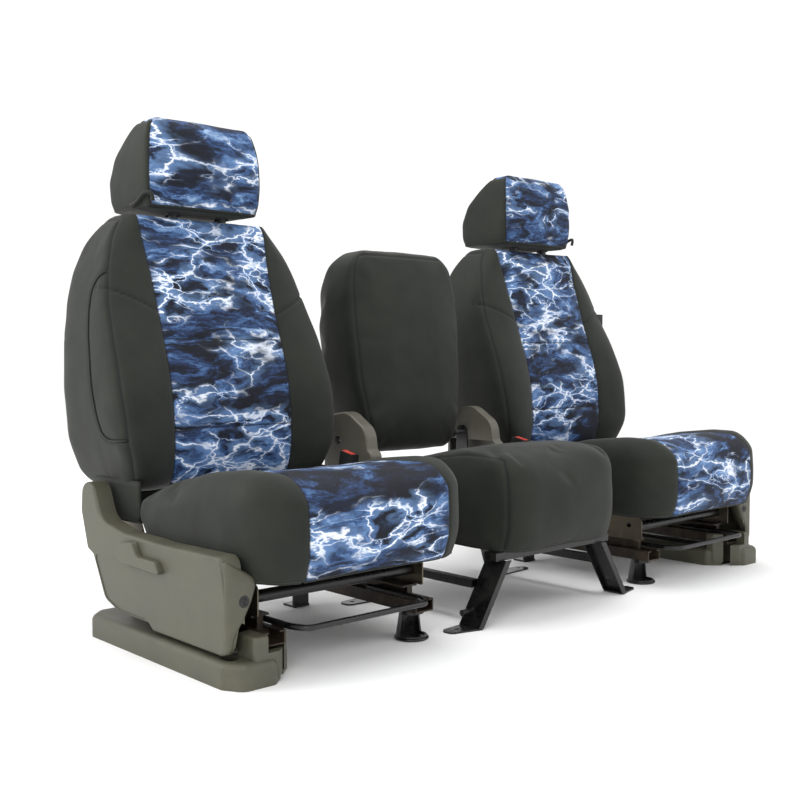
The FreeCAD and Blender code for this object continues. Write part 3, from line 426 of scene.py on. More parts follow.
# ---- sewing ------------------------------------------------------------------------------
class Sewing:
    """Geometry Nodes trees that run thread and rolled hems along a path."""

    def __init__(self, wardrobe: Wardrobe) -> None:
        """Build both trees.

        Args:
            wardrobe: Finishes of the thread and the hem; not used.
        """
        self.wardrobe = wardrobe
        self.stitch_tree, self.stitch_keys = self.build("seat_stitches", (
            ("Pitch", 0.005), ("Stitch Length", 0.0036), ("Thread Radius", 0.0005)),
            self.stitches)
        self.hem_tree, self.hem_keys = self.build("rolled_hem", (("Roll Radius", 0.003),),
                                                  self.hem)

    def build(self, name: str, sizes: Sequence[tuple[str, float]],
              body: Callable) -> tuple[bpy.types.NodeTree, dict[str, str]]:
        """Start a tree with its named sizes.

        Args:
            name: Name of the tree.
            sizes: Name and default of each size.
            body: Method that fills the tree and gives the geometry socket.

        Returns:
            The tree and the identifier of each named input.
        """
        tree = bpy.data.node_groups.new(name, "GeometryNodeTree")
        tree.interface.new_socket("Geometry", in_out="INPUT", socket_type="NodeSocketGeometry")
        keys = {}
        for word, default in sizes:
            socket = tree.interface.new_socket(word, in_out="INPUT",
                                               socket_type="NodeSocketFloat")
            socket.default_value = default
            keys[word] = socket.identifier
        cloth = tree.interface.new_socket("Material", in_out="INPUT",
                                          socket_type="NodeSocketMaterial")
        keys["Material"] = cloth.identifier
        tree.interface.new_socket("Geometry", in_out="OUTPUT", socket_type="NodeSocketGeometry")
        given = tree.nodes.new("NodeGroupInput")
        path = add_node(tree, "GeometryNodeMeshToCurve", None, None,
                        {"Mesh": given.outputs["Geometry"]})
        made = body(tree, given, path.outputs[0])
        real = add_node(tree, "GeometryNodeRealizeInstances", None, None, {"Geometry": made})
        dressed = add_node(tree, "GeometryNodeSetMaterial", None, None,
                           {"Geometry": real.outputs[0], "Material": given.outputs["Material"]})
        add_node(tree, "NodeGroupOutput", None, None, {0: dressed.outputs[0]})
        return tree, keys

    def stitches(self, tree: bpy.types.NodeTree, given: bpy.types.Node,
                 path: bpy.types.NodeSocket) -> bpy.types.NodeSocket:
        """Row of thread beads, one per stitch."""
        dots = add_node(tree, "GeometryNodeResampleCurve", {"mode": "LENGTH"}, None,
                        {"Curve": path, "Length": given.outputs["Pitch"]})
        bead = add_node(tree, "GeometryNodeMeshUVSphere", None,
                        {"Segments": 6, "Rings": 4, "Radius": 1.0})
        half = add_node(tree, "ShaderNodeMath", {"operation": "MULTIPLY"}, {1: 0.5},
                        {0: given.outputs["Stitch Length"]})
        size = add_node(tree, "ShaderNodeCombineXYZ", None, None,
                        {0: given.outputs["Thread Radius"], 1: given.outputs["Thread Radius"],
                         2: half.outputs[0]})
        way = add_node(tree, "GeometryNodeInputTangent")
        turn = add_node(tree, "FunctionNodeAlignRotationToVector", {"axis": "Z"}, None,
                        {"Vector": way.outputs[0]})
        row = add_node(tree, "GeometryNodeInstanceOnPoints", None, None,
                       {"Points": dots.outputs[0], "Instance": bead.outputs[0],
                        "Rotation": turn.outputs[0], "Scale": size.outputs[0]})
        return row.outputs[0]

    def hem(self, tree: bpy.types.NodeTree, given: bpy.types.Node,
            path: bpy.types.NodeSocket) -> bpy.types.NodeSocket:
        """Round roll of folded cloth."""
        ring = add_node(tree, "GeometryNodeCurvePrimitiveCircle", {"mode": "RADIUS"},
                        {"Resolution": 10}, {"Radius": given.outputs["Roll Radius"]})
        roll = add_node(tree, "GeometryNodeCurveToMesh", None, {"Fill Caps": True},
                        {"Curve": path, "Profile Curve": ring.outputs[0]})
        return roll.outputs[0]

    def run(self, name: str, paths: Sequence[np.ndarray], closed: bool, rolled: bool,
            material: bpy.types.Material, sizes: dict[str, float], body: str,
            slot: str) -> bpy.types.Object:
        """Run thread or a hem along paths and leave a plain mesh.

        Args:
            name: Name of the piece.
            paths: Points of each path.
            closed: Whether each path comes round to its start.
            rolled: Whether it is a rolled hem and not stitches.
            material: Its finish.
            sizes: Named sizes of the tree.
            body: Body that it rides on.
            slot: Slot of the record; not used.

        Returns:
            The finished piece.
        """
        tree, keys = ((self.hem_tree, self.hem_keys) if rolled
                      else (self.stitch_tree, self.stitch_keys))
        points, edges = [], []
        for path in paths:
            first = len(points)
            points.extend(path.tolist())
            count = len(path)
            edges += [(first + i, first + (i + 1) % count)
                      for i in range(count if closed else count - 1)]
        piece = new_piece(name, points, edges, [])
        modifier = piece.modifiers.new("Sewing", "NODES")
        modifier.node_group = tree
        for word, value in sizes.items():
            modifier[keys[word]] = value
        modifier[keys["Material"]] = material
        plain(piece)
        if rolled:
            piece.data.shade_smooth()
        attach(piece, body)
        return piece


def new_piece(name: str, points: Sequence, edges: Sequence, faces: Sequence,
              material: bpy.types.Material | None = None) -> bpy.types.Object:
    """Put a mesh of points, edges and faces in the scene."""
    mesh = bpy.data.meshes.new(name)
    mesh.from_pydata(points, edges, faces)
    if material:
        mesh.materials.append(material)
    piece = bpy.data.objects.new(name, mesh)
    bpy.context.scene.collection.objects.link(piece)
    return piece


def strip_quads(rows: int, count: int) -> list[tuple[int, ...]]:
    """Quads between rows of points, each row with the same count."""
    return [(r * count + i, r * count + i + 1, (r + 1) * count + i + 1, (r + 1) * count + i)
            for r in range(rows - 1) for i in range(count - 1)]


def thicken(piece: bpy.types.Object, wall: float) -> None:
    """Give a single skin its wall, inwards."""
    modifier = piece.modifiers.new("Wall", "SOLIDIFY")
    modifier.thickness, modifier.offset = wall, -1.0
    plain(piece)


def plain(piece: bpy.types.Object) -> None:
    """Turn a piece's modifiers into mesh and take them off."""
    bpy.context.view_layer.update()
    graph = bpy.context.evaluated_depsgraph_get()
    mesh = bpy.data.meshes.new_from_object(piece.evaluated_get(graph), depsgraph=graph)
    piece.modifiers.clear()
    piece.data = mesh


def smooth_path(points: Sequence[Sequence[float]], step: float, closed: bool) -> np.ndarray:
    """Round a few given points into an even path.

    Args:
        points: Corners of the path.
        step: Distance between the points given back.
        closed: Whether the path comes round to its start.

    Returns:
        Evenly spaced points.
    """
    corner = np.array(points, float)
    for _ in range(3):
        after = np.roll(corner, -1, axis=0) if closed else corner[1:]
        before = corner if closed else corner[:-1]
        cut = np.stack([0.75 * before + 0.25 * after, 0.25 * before + 0.75 * after], 1)
        ends = corner[[0, -1]]
        corner = cut.reshape(-1, corner.shape[1])
        if not closed:
            corner = np.vstack([ends[:1], corner, ends[1:]])
    if closed:
        corner = np.vstack([corner, corner[:1]])
    run = np.concatenate([[0], np.cumsum(np.linalg.norm(np.diff(corner, axis=0), axis=1))])
    at = np.linspace(0, run[-1], max(2, int(run[-1] / step)) + 1)
    even = np.stack([np.interp(at, run, corner[:, i]) for i in range(corner.shape[1])], 1)
    return even[:-1] if closed else even


@dataclass(frozen=True)
class Run:
    """Values that change smoothly along a piece, given at a few stations."""

    stops: tuple[tuple[float, float], ...]
    ease: float = 0.05

    def at(self, where: np.ndarray) -> np.ndarray:
        """Read the run.

        Args:
            where: Stations.

        Returns:
            Value at each station, eased over its neighbours.
        """
        places, values = np.array(self.stops, float).T
        reach = self.ease * (places[-1] - places[0])
        total, weights = np.zeros(np.shape(where)), 0.0
        for share in np.linspace(-1, 1, 9):
            weight = 1.05 - abs(share)
            spot = where + share * reach
            value = np.interp(spot, places, values)
            value = value + np.minimum(spot - places[0], 0) * (
                (values[1] - values[0]) / (places[1] - places[0]))
            value = value + np.maximum(spot - places[-1], 0) * (
                (values[-1] - values[-2]) / (places[-1] - places[-2]))
            total, weights = total + weight * value, weights + weight
        return total / weights


# ---- soft blocks -------------------------------------------------------------------------
@dataclass
class SoftBlock:
    """Closed block of quads, rounded, bent to shape, blown out and seamed."""

    size: tuple[float, float, float]        # whole width, depth and height
    corner: float = 0.04
    foot: float = 0.0                       # tighter rounding of the bottom edges
    step: float = 0.011
    cap: float = 0.007                      # how far the cloth run may move a point
    seam_x: tuple[float, ...] = ()          # panel seams, in block widths
    seam_y: tuple[float, ...] = ()
    seam_z: tuple[float, ...] = ()
    groove: float = 0.0036
    verts: np.ndarray = field(default=None, init=False)
    faces: list = field(default_factory=list, init=False)
    kinds: list = field(default_factory=list, init=False)
    seams: dict = field(default_factory=dict, init=False)

    def lines(self, length: float, seams: Sequence[float], both: bool,
              foot: float = 0.0) -> np.ndarray:
        """Grid lines along one axis.

        Args:
            length: Whole length of the block on the axis.
            seams: Places that get a line and one close on each side.
            both: Whether the seams are mirrored.
            foot: Rounding at the low end, if it isn't the corner's.

        Returns:
            Sorted places from minus half to plus half.
        """
        foot = foot or self.corner
        inner, low_inner = length / 2 - self.corner, length / 2 - foot
        turn = np.tan(np.radians([45.0, 36.0, 27.0, 18.0, 9.0]))
        marks = {-low_inner, inner}
        for seam in seams:
            for way in ((-1, 1) if both else (1,)):
                marks |= {way * seam - 0.004, way * seam, way * seam + 0.004}
        marks = sorted(m for m in marks if -low_inner - 1e-9 <= m <= inner + 1e-9)
        middle = [marks[0]]
        for low, high in zip(marks[:-1], marks[1:]):
            if high - low < 1e-6:
                continue
            count = max(1, math.ceil((high - low) / self.step - 0.35))
            middle.extend(np.linspace(low, high, count + 1)[1:])
        return np.concatenate([-low_inner - foot * turn, middle,
                               (inner + self.corner * turn)[::-1]])

    def weave(self) -> None:
        """Make the rounded block's points and its outward quads."""
        xs = self.lines(self.size[0], self.seam_x, True)
        ys = self.lines(self.size[1], self.seam_y, False)
        zs = self.lines(self.size[2], self.seam_z, False, self.foot)
        self.grid = (xs, ys, zs)
        last = [len(a) - 1 for a in self.grid]
        ids = -np.ones([n + 1 for n in last], int)
        spots = [(i, j, k) for i in range(last[0] + 1) for j in range(last[1] + 1)
                 for k in range(last[2] + 1)
                 if i in (0, last[0]) or j in (0, last[1]) or k in (0, last[2])]
        for n, spot in enumerate(spots):
            ids[spot] = n
        self.ids, self.last = ids, last
        at = np.array([(xs[i], ys[j], zs[k]) for i, j, k in spots])
        reach = np.full(at.shape, self.corner)
        reach[at[:, 2] < 0, 2] = self.foot or self.corner
        inner = np.array(self.size) / 2 - reach
        core = np.clip(at, -inner, inner)
        away = (at - core) / reach
        self.block = core + reach * away / np.linalg.norm(away, axis=1, keepdims=True)
        self.faces, self.kinds = [], []
        for wall, fixed, one, two, end, turned in (
                (Wall.FRONT, 1, 0, 2, 0, False), (Wall.REAR, 1, 0, 2, last[1], True),
                (Wall.LEFT, 0, 1, 2, 0, True), (Wall.RIGHT, 0, 1, 2, last[0], False),
                (Wall.BOTTOM, 2, 0, 1, 0, True), (Wall.TOP, 2, 0, 1, last[2], False)):
            for a in range(last[one]):
                for b in range(last[two]):
                    ring = []
                    for da, db in ((0, 0), (1, 0), (1, 1), (0, 1)):
                        spot = [0, 0, 0]
                        spot[fixed], spot[one], spot[two] = end, a + da, b + db
                        ring.append(int(ids[tuple(spot)]))
                    self.faces.append(ring[::-1] if turned else ring)
                    middle = [0.0, 0.0, 0.0]
                    middle[one] = (self.grid[one][a] + self.grid[one][a + 1]) / 2
                    middle[two] = (self.grid[two][b] + self.grid[two][b + 1]) / 2
                    middle[fixed] = self.grid[fixed][end]
                    self.kinds.append((wall, *middle))

    def near(self, axis: int, place: float) -> int:
        """Index of the grid line nearest a place on an axis."""
        return int(np.argmin(abs(self.grid[axis] - place)))

    def edge_line(self, x_end: int, walls: Sequence[Wall], shift: int = 0) -> list[int]:
        """Points where an end wall meets the front, top or rear, in order.

        Args:
            x_end: Index of the grid line along X.
            walls: Walls to follow, each after the one before.
            shift: Lines to step in from the end.

        Returns:
            Point numbers along the line.
        """
        i = x_end + shift
        rows = {Wall.FRONT: [(i, 0, k) for k in range(self.last[2] + 1)],
                Wall.TOP: [(i, j, self.last[2]) for j in range(self.last[1] + 1)],
                Wall.REAR: [(i, self.last[1], k) for k in range(self.last[2], -1, -1)],
                Wall.BOTTOM: [(i, j, 0) for j in range(self.last[1], -1, -1)]}
        found = []
        for wall in walls:
            for spot in rows[wall]:
                number = int(self.ids[spot])
                if number not in found[-1:]:
                    found.append(number)
        return found

    def bottom_ring(self, row: int = 0) -> list[int]:
        """Points round the block at a grid row above the bottom."""
        x, y = self.last[0], self.last[1]
        ring = ([(i, 0, row) for i in range(x)] + [(x, j, row) for j in range(y)]
                + [(i, y, row) for i in range(x, 0, -1)] + [(0, j, row) for j in range(y, 0, -1)])
        return [int(self.ids[s]) for s in ring]

    def bend(self, at: np.ndarray) -> np.ndarray:
        """Bend block points to the real shape; each piece has its own."""
        raise NotImplementedError

    def cloth_of(self, wall: Wall, x: float, y: float, z: float) -> int:
        """Which cloth a face is cut from: 0 plain, 1 printed."""
        return 0

    def seam_rows(self) -> dict[str, list[int]]:
        """Rows of points that are seams."""
        return {}

    def sew_up(self, name: str, materials: Sequence[bpy.types.Material],
               carve: Sequence[tuple[np.ndarray, float, float]] = (),
               folds: float = 0.0012) -> bpy.types.Object:
        """Build the block at its place for the left or the middle.

        Args:
            name: Name of the piece.
            materials: Plain and printed cloth.
            carve: Extra seams, each with its half width and depth.
            folds: Height of the soft unevenness.

        Returns:
            The mesh object, padded and subdivided.
        """
        self.weave()
        piece = new_piece(name, self.bend(self.block).tolist(), [], self.faces)
        mesh = piece.data
        for material in materials:
            mesh.materials.append(material)
        mesh.polygons.foreach_set("material_index",
                                  [self.cloth_of(*kind) for kind in self.kinds])
        self.seams = self.seam_rows()
        held = np.zeros(len(mesh.vertices))
        for row in self.seams.values():
            held[row] = 1.0
        held[self.bottom_ring()] = 1.0
        self.blow(piece, held)
        self.press(piece, held, folds)
        self.verts = points_of(piece.data)
        self.normals = normals_of(piece.data)
        modifier = piece.modifiers.new("Subdivision", "SUBSURF")
        modifier.levels = modifier.render_levels = 1
        plain(piece)
        for path, width, depth in carve:
            engrave(piece.data, drop_on(piece.data, path, (0, -1, 0)), width, depth)
        piece.data.shade_smooth()
        LOG.info("%s: %d faces", name, len(piece.data.polygons))
        return piece

    def blow(self, piece: bpy.types.Object, held: np.ndarray) -> None:
        """Blow the cloth out from the inside and keep what the cap allows.

        Args:
            piece: Mesh object at its first shape.
            held: How firmly each point is held, 0 to 1.
        """
        first = points_of(piece.data)
        start = first - normals_of(piece.data) * self.cap * 0.45
        write_points(piece.data, start)
        group = piece.vertex_groups.new(name="seams")
        group.add([int(i) for i in np.flatnonzero(held)], SEAM_HOLD, "REPLACE")
        cloth = piece.modifiers.new("Cloth", "CLOTH")
        settings = cloth.settings
        settings.quality = 4
        settings.mass = 0.3
        settings.tension_stiffness = settings.compression_stiffness = 12
        settings.shear_stiffness = 8
        settings.bending_stiffness = 4
        settings.use_pressure = True
        settings.uniform_pressure_force = 4.0
        settings.vertex_group_mass = group.name
        settings.effector_weights.gravity = 0
        cloth.collision_settings.use_collision = False
        scene = bpy.context.scene
        for frame in range(1, CLOTH_FRAMES + 1):
            scene.frame_set(frame)
        graph = bpy.context.evaluated_depsgraph_get()
        blown = points_of(piece.evaluated_get(graph).data)
        piece.modifiers.clear()
        scene.frame_set(1)
        move = blown - start
        length = np.linalg.norm(move, axis=1, keepdims=True)
        write_points(piece.data, start + move * np.minimum(1, self.cap / np.maximum(length, 1e-9)))
        piece.vertex_groups.clear()

    def press(self, piece: bpy.types.Object, held: np.ndarray, folds: float) -> None:
        """Draw the seams in and lay soft unevenness over the cloth."""
        points, normals = points_of(piece.data), normals_of(piece.data)
        rows = np.zeros(len(points))
        for row in self.seams.values():
            rows[row] = 1.0
        uneven = np.array([noise.noise(Vector(p) * 14.0) + 0.5 * noise.noise(Vector(p) * 31.0)
                           for p in points])
        points = points + normals * (folds * uneven * (1 - held) - self.groove * rows)[:, None]
        write_points(piece.data, points)
        # The seam mark is the mask that the cloth materials darken into painted shade.
        marks = piece.data.attributes.new("seam", "FLOAT", "POINT")
        marks.data.foreach_set("value", rows)

    def along(self, row: Sequence[int], lift: float = 0.0) -> np.ndarray:
        """Points of a row of the finished block, lifted off the cloth."""
        return self.verts[row] + self.normals[row] * lift


def points_of(mesh: bpy.types.Mesh) -> np.ndarray:
    """Points of a mesh as an array."""
    out = np.empty(len(mesh.vertices) * 3)
    mesh.vertices.foreach_get("co", out)
    return out.reshape(-1, 3)


def write_points(mesh: bpy.types.Mesh, points: np.ndarray) -> None:
    """Move a mesh's points."""
    mesh.vertices.foreach_set("co", points.ravel())
    mesh.update()


def normals_of(mesh: bpy.types.Mesh) -> np.ndarray:
    """Outward direction at each point of a mesh."""
    out = np.empty(len(mesh.vertices) * 3)
    mesh.vertex_normals.foreach_get("vector", out)
    return out.reshape(-1, 3)


def engrave(mesh: bpy.types.Mesh, path: np.ndarray, width: float, depth: float) -> None:
    """Press a line into the cloth.

    Args:
        mesh: Finished mesh.
        path: Points of the line, close together.
        width: Half width of the groove.
        depth: Depth; below zero it is a welt.
    """
    points, normals = points_of(mesh), normals_of(mesh)
    low, high = path.min(0) - 4 * width, path.max(0) + 4 * width
    near = np.flatnonzero(((points > low) & (points < high)).all(1))
    if not len(near):
        return
    gap = np.min(np.linalg.norm(points[near, None, :] - path[None, :, :], axis=2), axis=1)
    share = np.exp(-((gap / width) ** 2))
    points[near] -= normals[near] * (depth * share)[:, None]
    write_points(mesh, points)
    # The groove joins the seam mark, which the cloth materials darken into painted shade.
    marks = np.empty(len(points))
    mesh.attributes["seam"].data.foreach_get("value", marks)
    marks[near] = np.maximum(marks[near], share)
    mesh.attributes["seam"].data.foreach_set("value", marks)


def drop_on(mesh: bpy.types.Mesh, path: np.ndarray, away: Sequence[float]) -> np.ndarray:
    """Bring a path onto a mesh by looking along a direction.

    Args:
        mesh: Mesh to land on.
        path: Points near the mesh.
        away: Outward direction of the side it lies on.

    Returns:
        The points, on the surface.
    """
    tree = BVHTree.FromPolygons([v.co for v in mesh.vertices],
                                [tuple(p.vertices) for p in mesh.polygons])
    out = Vector(away).normalized()
    found = []
    for point in path:
        hit, _, _, _ = tree.ray_cast(Vector(point) + out * 0.12, -out)
        if hit is None or abs((hit - Vector(point)).dot(out)) > 0.040:
            hit = tree.find_nearest(Vector(point))[0]
        found.append(hit)
    return np.array(found)


def finish_soft(piece: bpy.types.Object, body: str, nodes: Sequence[str]) -> None:
    """Put a soft piece on its body and hide the CAD nodes that it replaces.

    Args:
        piece: Finished piece.
        body: Body that it rides on.
        nodes: CAD nodes that it replaces.
    """
    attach(piece, body)
    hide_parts(*nodes)


def turned_over(piece: bpy.types.Object, name: str) -> bpy.types.Object:
    """Right-hand copy of a left-hand piece, with its faces still outward."""
    mesh = piece.data.copy()
    mesh.name = name
    points = points_of(mesh)
    points[:, 0] *= -1
    write_points(mesh, points)
    mesh.flip_normals()
    copy = bpy.data.objects.new(name, mesh)
    bpy.context.scene.collection.objects.link(copy)
    return copy


@dataclass
class OuterBackrest(SoftBlock):
    """Outer backrest: printed middle, plain wings, side gusset with an airbag opening."""

    size: tuple[float, float, float] = (0.590, 0.270, 0.608)
    corner: float = 0.042
    seam_x: tuple[float, ...] = (0.1545,)
    seam_y: tuple[float, ...] = (-0.03,)
    seam_z: tuple[float, ...] = (-0.169, 0.026)
    cap: float = 0.009
    base: float = 0.300
    wide: Run = Run(((0.300, .256), (0.336, .265), (0.403, .287), (0.513, .295), (0.628, .289),
                     (0.713, .277), (0.786, .260), (0.847, .235), (0.887, .208), (0.908, .194)),
                    0.035)
    panel: Run = Run(((0.300, .153), (0.700, .156), (0.780, .160), (0.830, .163),
                      (0.870, .168), (0.908, .166)))
    front: Run = Run(((0.300, -.030), (0.390, -.048), (0.442, -.046), (0.497, -.042),
                      (0.540, -.033), (0.582, -.022), (0.629, -.005), (0.702, .021),
                      (0.779, .046), (0.823, .062), (0.869, .075), (0.908, .082)), 0.03)
    side: Run = Run(((0.300, -.035), (0.379, -.069), (0.420, -.069), (0.461, -.065),
                     (0.501, -.057), (0.542, -.044), (0.583, -.028), (0.624, -.010),
                     (0.667, .012), (0.710, .036), (0.776, .062), (0.821, .080), (0.870, .108),
                     (0.908, .125)), 0.03)
    rear: Run = Run(((0.300, .196), (0.336, .222), (0.403, .236), (0.513, .241), (0.628, .247),
                     (0.713, .249), (0.786, .244), (0.847, .228), (0.887, .205),
                     (0.908, .192)), 0.035)

    def bend(self, at: np.ndarray) -> np.ndarray:
        """Bend block points to the backrest's shape."""
        x, y, z = at.T
        half = self.size[0] / 2
        level = self.base + z + self.size[2] / 2
        wide, panel = self.wide.at(level), self.panel.at(level)
        panel = np.minimum(panel, wide - 0.02)
        share, mark = abs(x) / half, self.seam_x[0] / half
        across = np.where(share < mark, share / mark * panel,
                          panel + (share - mark) / (1 - mark) * (wide - panel))
        wing = np.clip((across - panel) / np.maximum(wide - panel, 1e-3), 0, 1)
        deep = (y + self.size[1] / 2) / self.size[1]
        front, side = self.front.at(level), self.side.at(level)
        crown = 0.004 * np.clip(1 - (across / panel) ** 2, 0, 1)
        low = np.clip((0.74 - level) / 0.2, 0, 1)
        crest = (0.004 + 0.010 * low) * np.sin(np.pi * wing)
        face = front + (side - front) * wing ** 1.5 - crown - crest
        back = self.rear.at(level) - 0.004 * (across / wide) ** 4
        return np.stack([np.sign(x) * across - SEAT_SPACING,
                         face + deep * (back - face) + FACE_Y, level], 1)

    def cloth_of(self, wall: Wall, x: float, y: float, z: float) -> int:
        """Printed down the middle of the front and over the top edge."""
        inside = abs(x) < self.seam_x[0]
        return int(inside and (wall is Wall.FRONT
                               or (wall is Wall.TOP and y < self.seam_y[0])))

    def seam_rows(self) -> dict[str, list[int]]:
        """Seams of the printed panel and of the side gussets."""
        rows = {}
        end_y = self.near(1, self.seam_y[0])
        columns = [self.near(0, way * self.seam_x[0]) for way in (-1, 1)]
        for word, i in zip(("panel_left", "panel_right"), columns):
            up = [int(self.ids[i, 0, k]) for k in range(self.last[2] + 1)]
            over = [int(self.ids[i, j, self.last[2]]) for j in range(1, end_y + 1)]
            rows[word] = up + over
        rows["panel_top"] = [int(self.ids[i, end_y, self.last[2]])
                             for i in range(columns[0], columns[1] + 1)]
        for word, place in zip(("panel_low", "panel_mid"), self.seam_z):
            k = self.near(2, place)
            rows[word] = [int(self.ids[i, 0, k]) for i in range(columns[0], columns[1] + 1)]
        for word, i in (("gusset_left", 0), ("gusset_right", self.last[0])):
            rows[word] = self.edge_line(i, (Wall.FRONT, Wall.TOP))
            rows[word + "_rear"] = self.edge_line(i, (Wall.REAR,))
        return rows

    def wing_seams(self) -> list[np.ndarray]:
        """Slanting seams of both wings, from the panel up to the gusset."""
        marks = ((.158, .015, .690), (.185, .020, .704), (.235, .036, .728), (.275, .062, .742))
        return [smooth_path([(way * x - SEAT_SPACING, y + FACE_Y, z) for x, y, z in marks],
                            0.003, False) for way in (-1, 1)]

    def airbag_opening(self) -> np.ndarray:
        """Bound edge on the outboard gusset that the side airbag opens through."""
        sides = ((.074, .772), (.090, .762), (.106, .735), (.103, .689), (.083, .604),
                 (.064, .519), (.044, .440), (.018, .412), (-.050, .416))
        return smooth_path([(-.290 - SEAT_SPACING, y + FACE_Y, z) for y, z in sides],
                           0.003, False)


@dataclass
class OuterCushion(SoftBlock):
    """Outer cushion: printed top and front, plain bolsters, rolled hem."""

    size: tuple[float, float, float] = (0.524, 0.486, 0.206)
    corner: float = 0.052
    foot: float = 0.010
    cap: float = 0.008
    seam_x: tuple[float, ...] = (0.178,)
    front_y: float = -0.548
    hem: float = 0.182
    sag: float = 0.008          # cloth hanging below the block
    dish: float = 0.012
    plan: float = 0.052         # how far the front corners fall back
    top: Run = Run(((0.0, .192), (0.06, .198), (0.118, .198), (0.25, .184), (0.388, .154),
                    (0.44, .136), (0.486, .118)), 0.06)
    oval: float = 0.070         # how far the bolsters' lower rear is lifted
    nose: Run = Run(((0.0, .021), (0.12, .010), (0.28, .001), (0.5, .000), (0.78, .003),
                     (1.0, .022)), 0.06)

    def bend(self, at: np.ndarray) -> np.ndarray:
        """Bend block points to the cushion's shape."""
        x, y, z = at.T
        half = self.size[0] / 2
        deep = y + self.size[1] / 2
        rise = (z + self.size[2] / 2) / self.size[2]
        height = self.top.at(deep)
        share = abs(x) / half
        mark = self.seam_x[0] / half
        bowl = np.clip(1 - (share / (mark * 1.12)) ** 2, 0, 1)
        ease = np.clip(deep / 0.12, 0.35, 1)
        bolster = 0.004 * np.sin(np.pi * np.clip((share - mark) / (1 - mark), 0, 1))
        height = height + bolster - self.dish * ease * np.sqrt(bowl)
        fall = self.plan * np.clip((share - 0.60) / 0.40, 0, 1) ** 2
        push = (self.nose.at(rise) + fall) * np.clip(1 - deep / self.size[1], 0, 1)
        waist = 1 - 0.014 * np.clip(1 - rise / 0.35, 0, 1)
        aft = np.clip((deep - 0.30) / (self.size[1] - 0.30), 0, 1) ** 2
        end = np.clip((share - mark) / (1 - mark) * 1.6, 0, 1) * aft
        lift = self.oval * end * (1 - rise)
        back = 0.030 * end * np.sin(np.pi * np.clip(rise, 0, 1))
        return np.stack([x * waist, self.front_y + deep + push + back,
                         self.hem - self.sag + lift + rise * (height + self.sag)],
                        1) + self.place()

    def place(self) -> np.ndarray:
        """Where the cushion stands in the row."""
        return np.array([-SEAT_SPACING, FACE_Y, 0.0])

    def cloth_of(self, wall: Wall, x: float, y: float, z: float) -> int:
        """Printed between the bolsters on top and down the front."""
        return int(abs(x) < self.seam_x[0] and wall in (Wall.TOP, Wall.FRONT))

    def seam_rows(self) -> dict[str, list[int]]:
        """Seams of the printed panel."""
        rows = {}
        if self.seam_x:
            for word, way in (("panel_left", -1), ("panel_right", 1)):
                rows[word] = self.edge_line(self.near(0, way * self.seam_x[0]),
                                            (Wall.FRONT, Wall.TOP))
        return rows


@dataclass
class CentreCushion(OuterCushion):
    """Centre cushion: one plain top and front with deep gussets."""

    size: tuple[float, float, float] = (0.394, 0.490, 0.218)
    corner: float = 0.036
    oval: float = 0.0
    seam_x: tuple[float, ...] = (0.150,)
    front_y: float = -0.536
    hem: float = 0.160
    dish: float = -0.004
    plan: float = 0.034
    top: Run = Run(((0.0, .214), (0.08, .219), (0.16, .217), (0.25, .202), (0.392, .172),
                    (0.44, .158), (0.490, .138)), 0.06)

    def place(self) -> np.ndarray:
        """Where the cushion stands in the row."""
        return np.array([0.0, FACE_Y, 0.0])

    def cloth_of(self, wall: Wall, x: float, y: float, z: float) -> int:
        """Plain all over."""
        return 0

    def seam_rows(self) -> dict[str, list[int]]:
        """Seams of the gussets only."""
        return {word: self.edge_line(i, (Wall.FRONT, Wall.TOP))
                for word, i in (("end_left", 0), ("end_right", self.last[0]))}


@dataclass
class Headrest(SoftBlock):
    """Headrest: printed front and top, plain ends, underside and rear."""

    size: tuple[float, float, float] = (0.314, 0.200, 0.210)
    corner: float = 0.024
    foot: float = 0.012
    step: float = 0.009
    cap: float = 0.005
    seam_y: tuple[float, ...] = (0.050,)
    base: float = 0.916
    wide: Run = Run(((0.916, .145), (0.943, .153), (0.992, .157), (1.042, .1555),
                     (1.084, .149), (1.113, .140), (1.126, .134)))
    front: Run = Run(((0.916, .066), (0.943, .059), (0.992, .056), (1.042, .058),
                      (1.084, .066), (1.113, .075), (1.126, .080)), 0.06)
    rear: Run = Run(((0.916, .262), (0.943, .272), (0.992, .271), (1.042, .248),
                     (1.084, .205), (1.113, .168), (1.126, .155)), 0.06)

    def bend(self, at: np.ndarray) -> np.ndarray:
        """Bend block points to the headrest's shape."""
        x, y, z = at.T
        level = self.base + z + self.size[2] / 2
        share = x / (self.size[0] / 2)
        across = share * self.wide.at(level)
        deep = (y + self.size[1] / 2) / self.size[1]
        crown = 0.010 * np.clip(1 - share ** 2, 0, 1)
        face = self.front.at(level) + 0.008 - crown
        back = self.rear.at(level) - 0.014 * share ** 2
        return np.stack([across - SEAT_SPACING, face + deep * (back - face) + FACE_Y,
                         level], 1)

    def cloth_of(self, wall: Wall, x: float, y: float, z: float) -> int:
        """Printed up the front and back over the top."""
        return int(wall is Wall.FRONT or (wall is Wall.TOP and y < self.seam_y[0]))

    def seam_rows(self) -> dict[str, list[int]]:
        """Seams of the ends, the band and the top's rear edge."""
        j = self.near(1, self.seam_y[0])
        rows = {"band": [int(self.ids[i, 0, 0]) for i in range(self.last[0] + 1)],
                "top_rear": [int(self.ids[i, j, self.last[2]])
                             for i in range(self.last[0] + 1)]}
        for word, i in (("end_left", 0), ("end_right", self.last[0])):
            rows[word] = self.edge_line(i, (Wall.FRONT, Wall.TOP, Wall.REAR))
        return rows


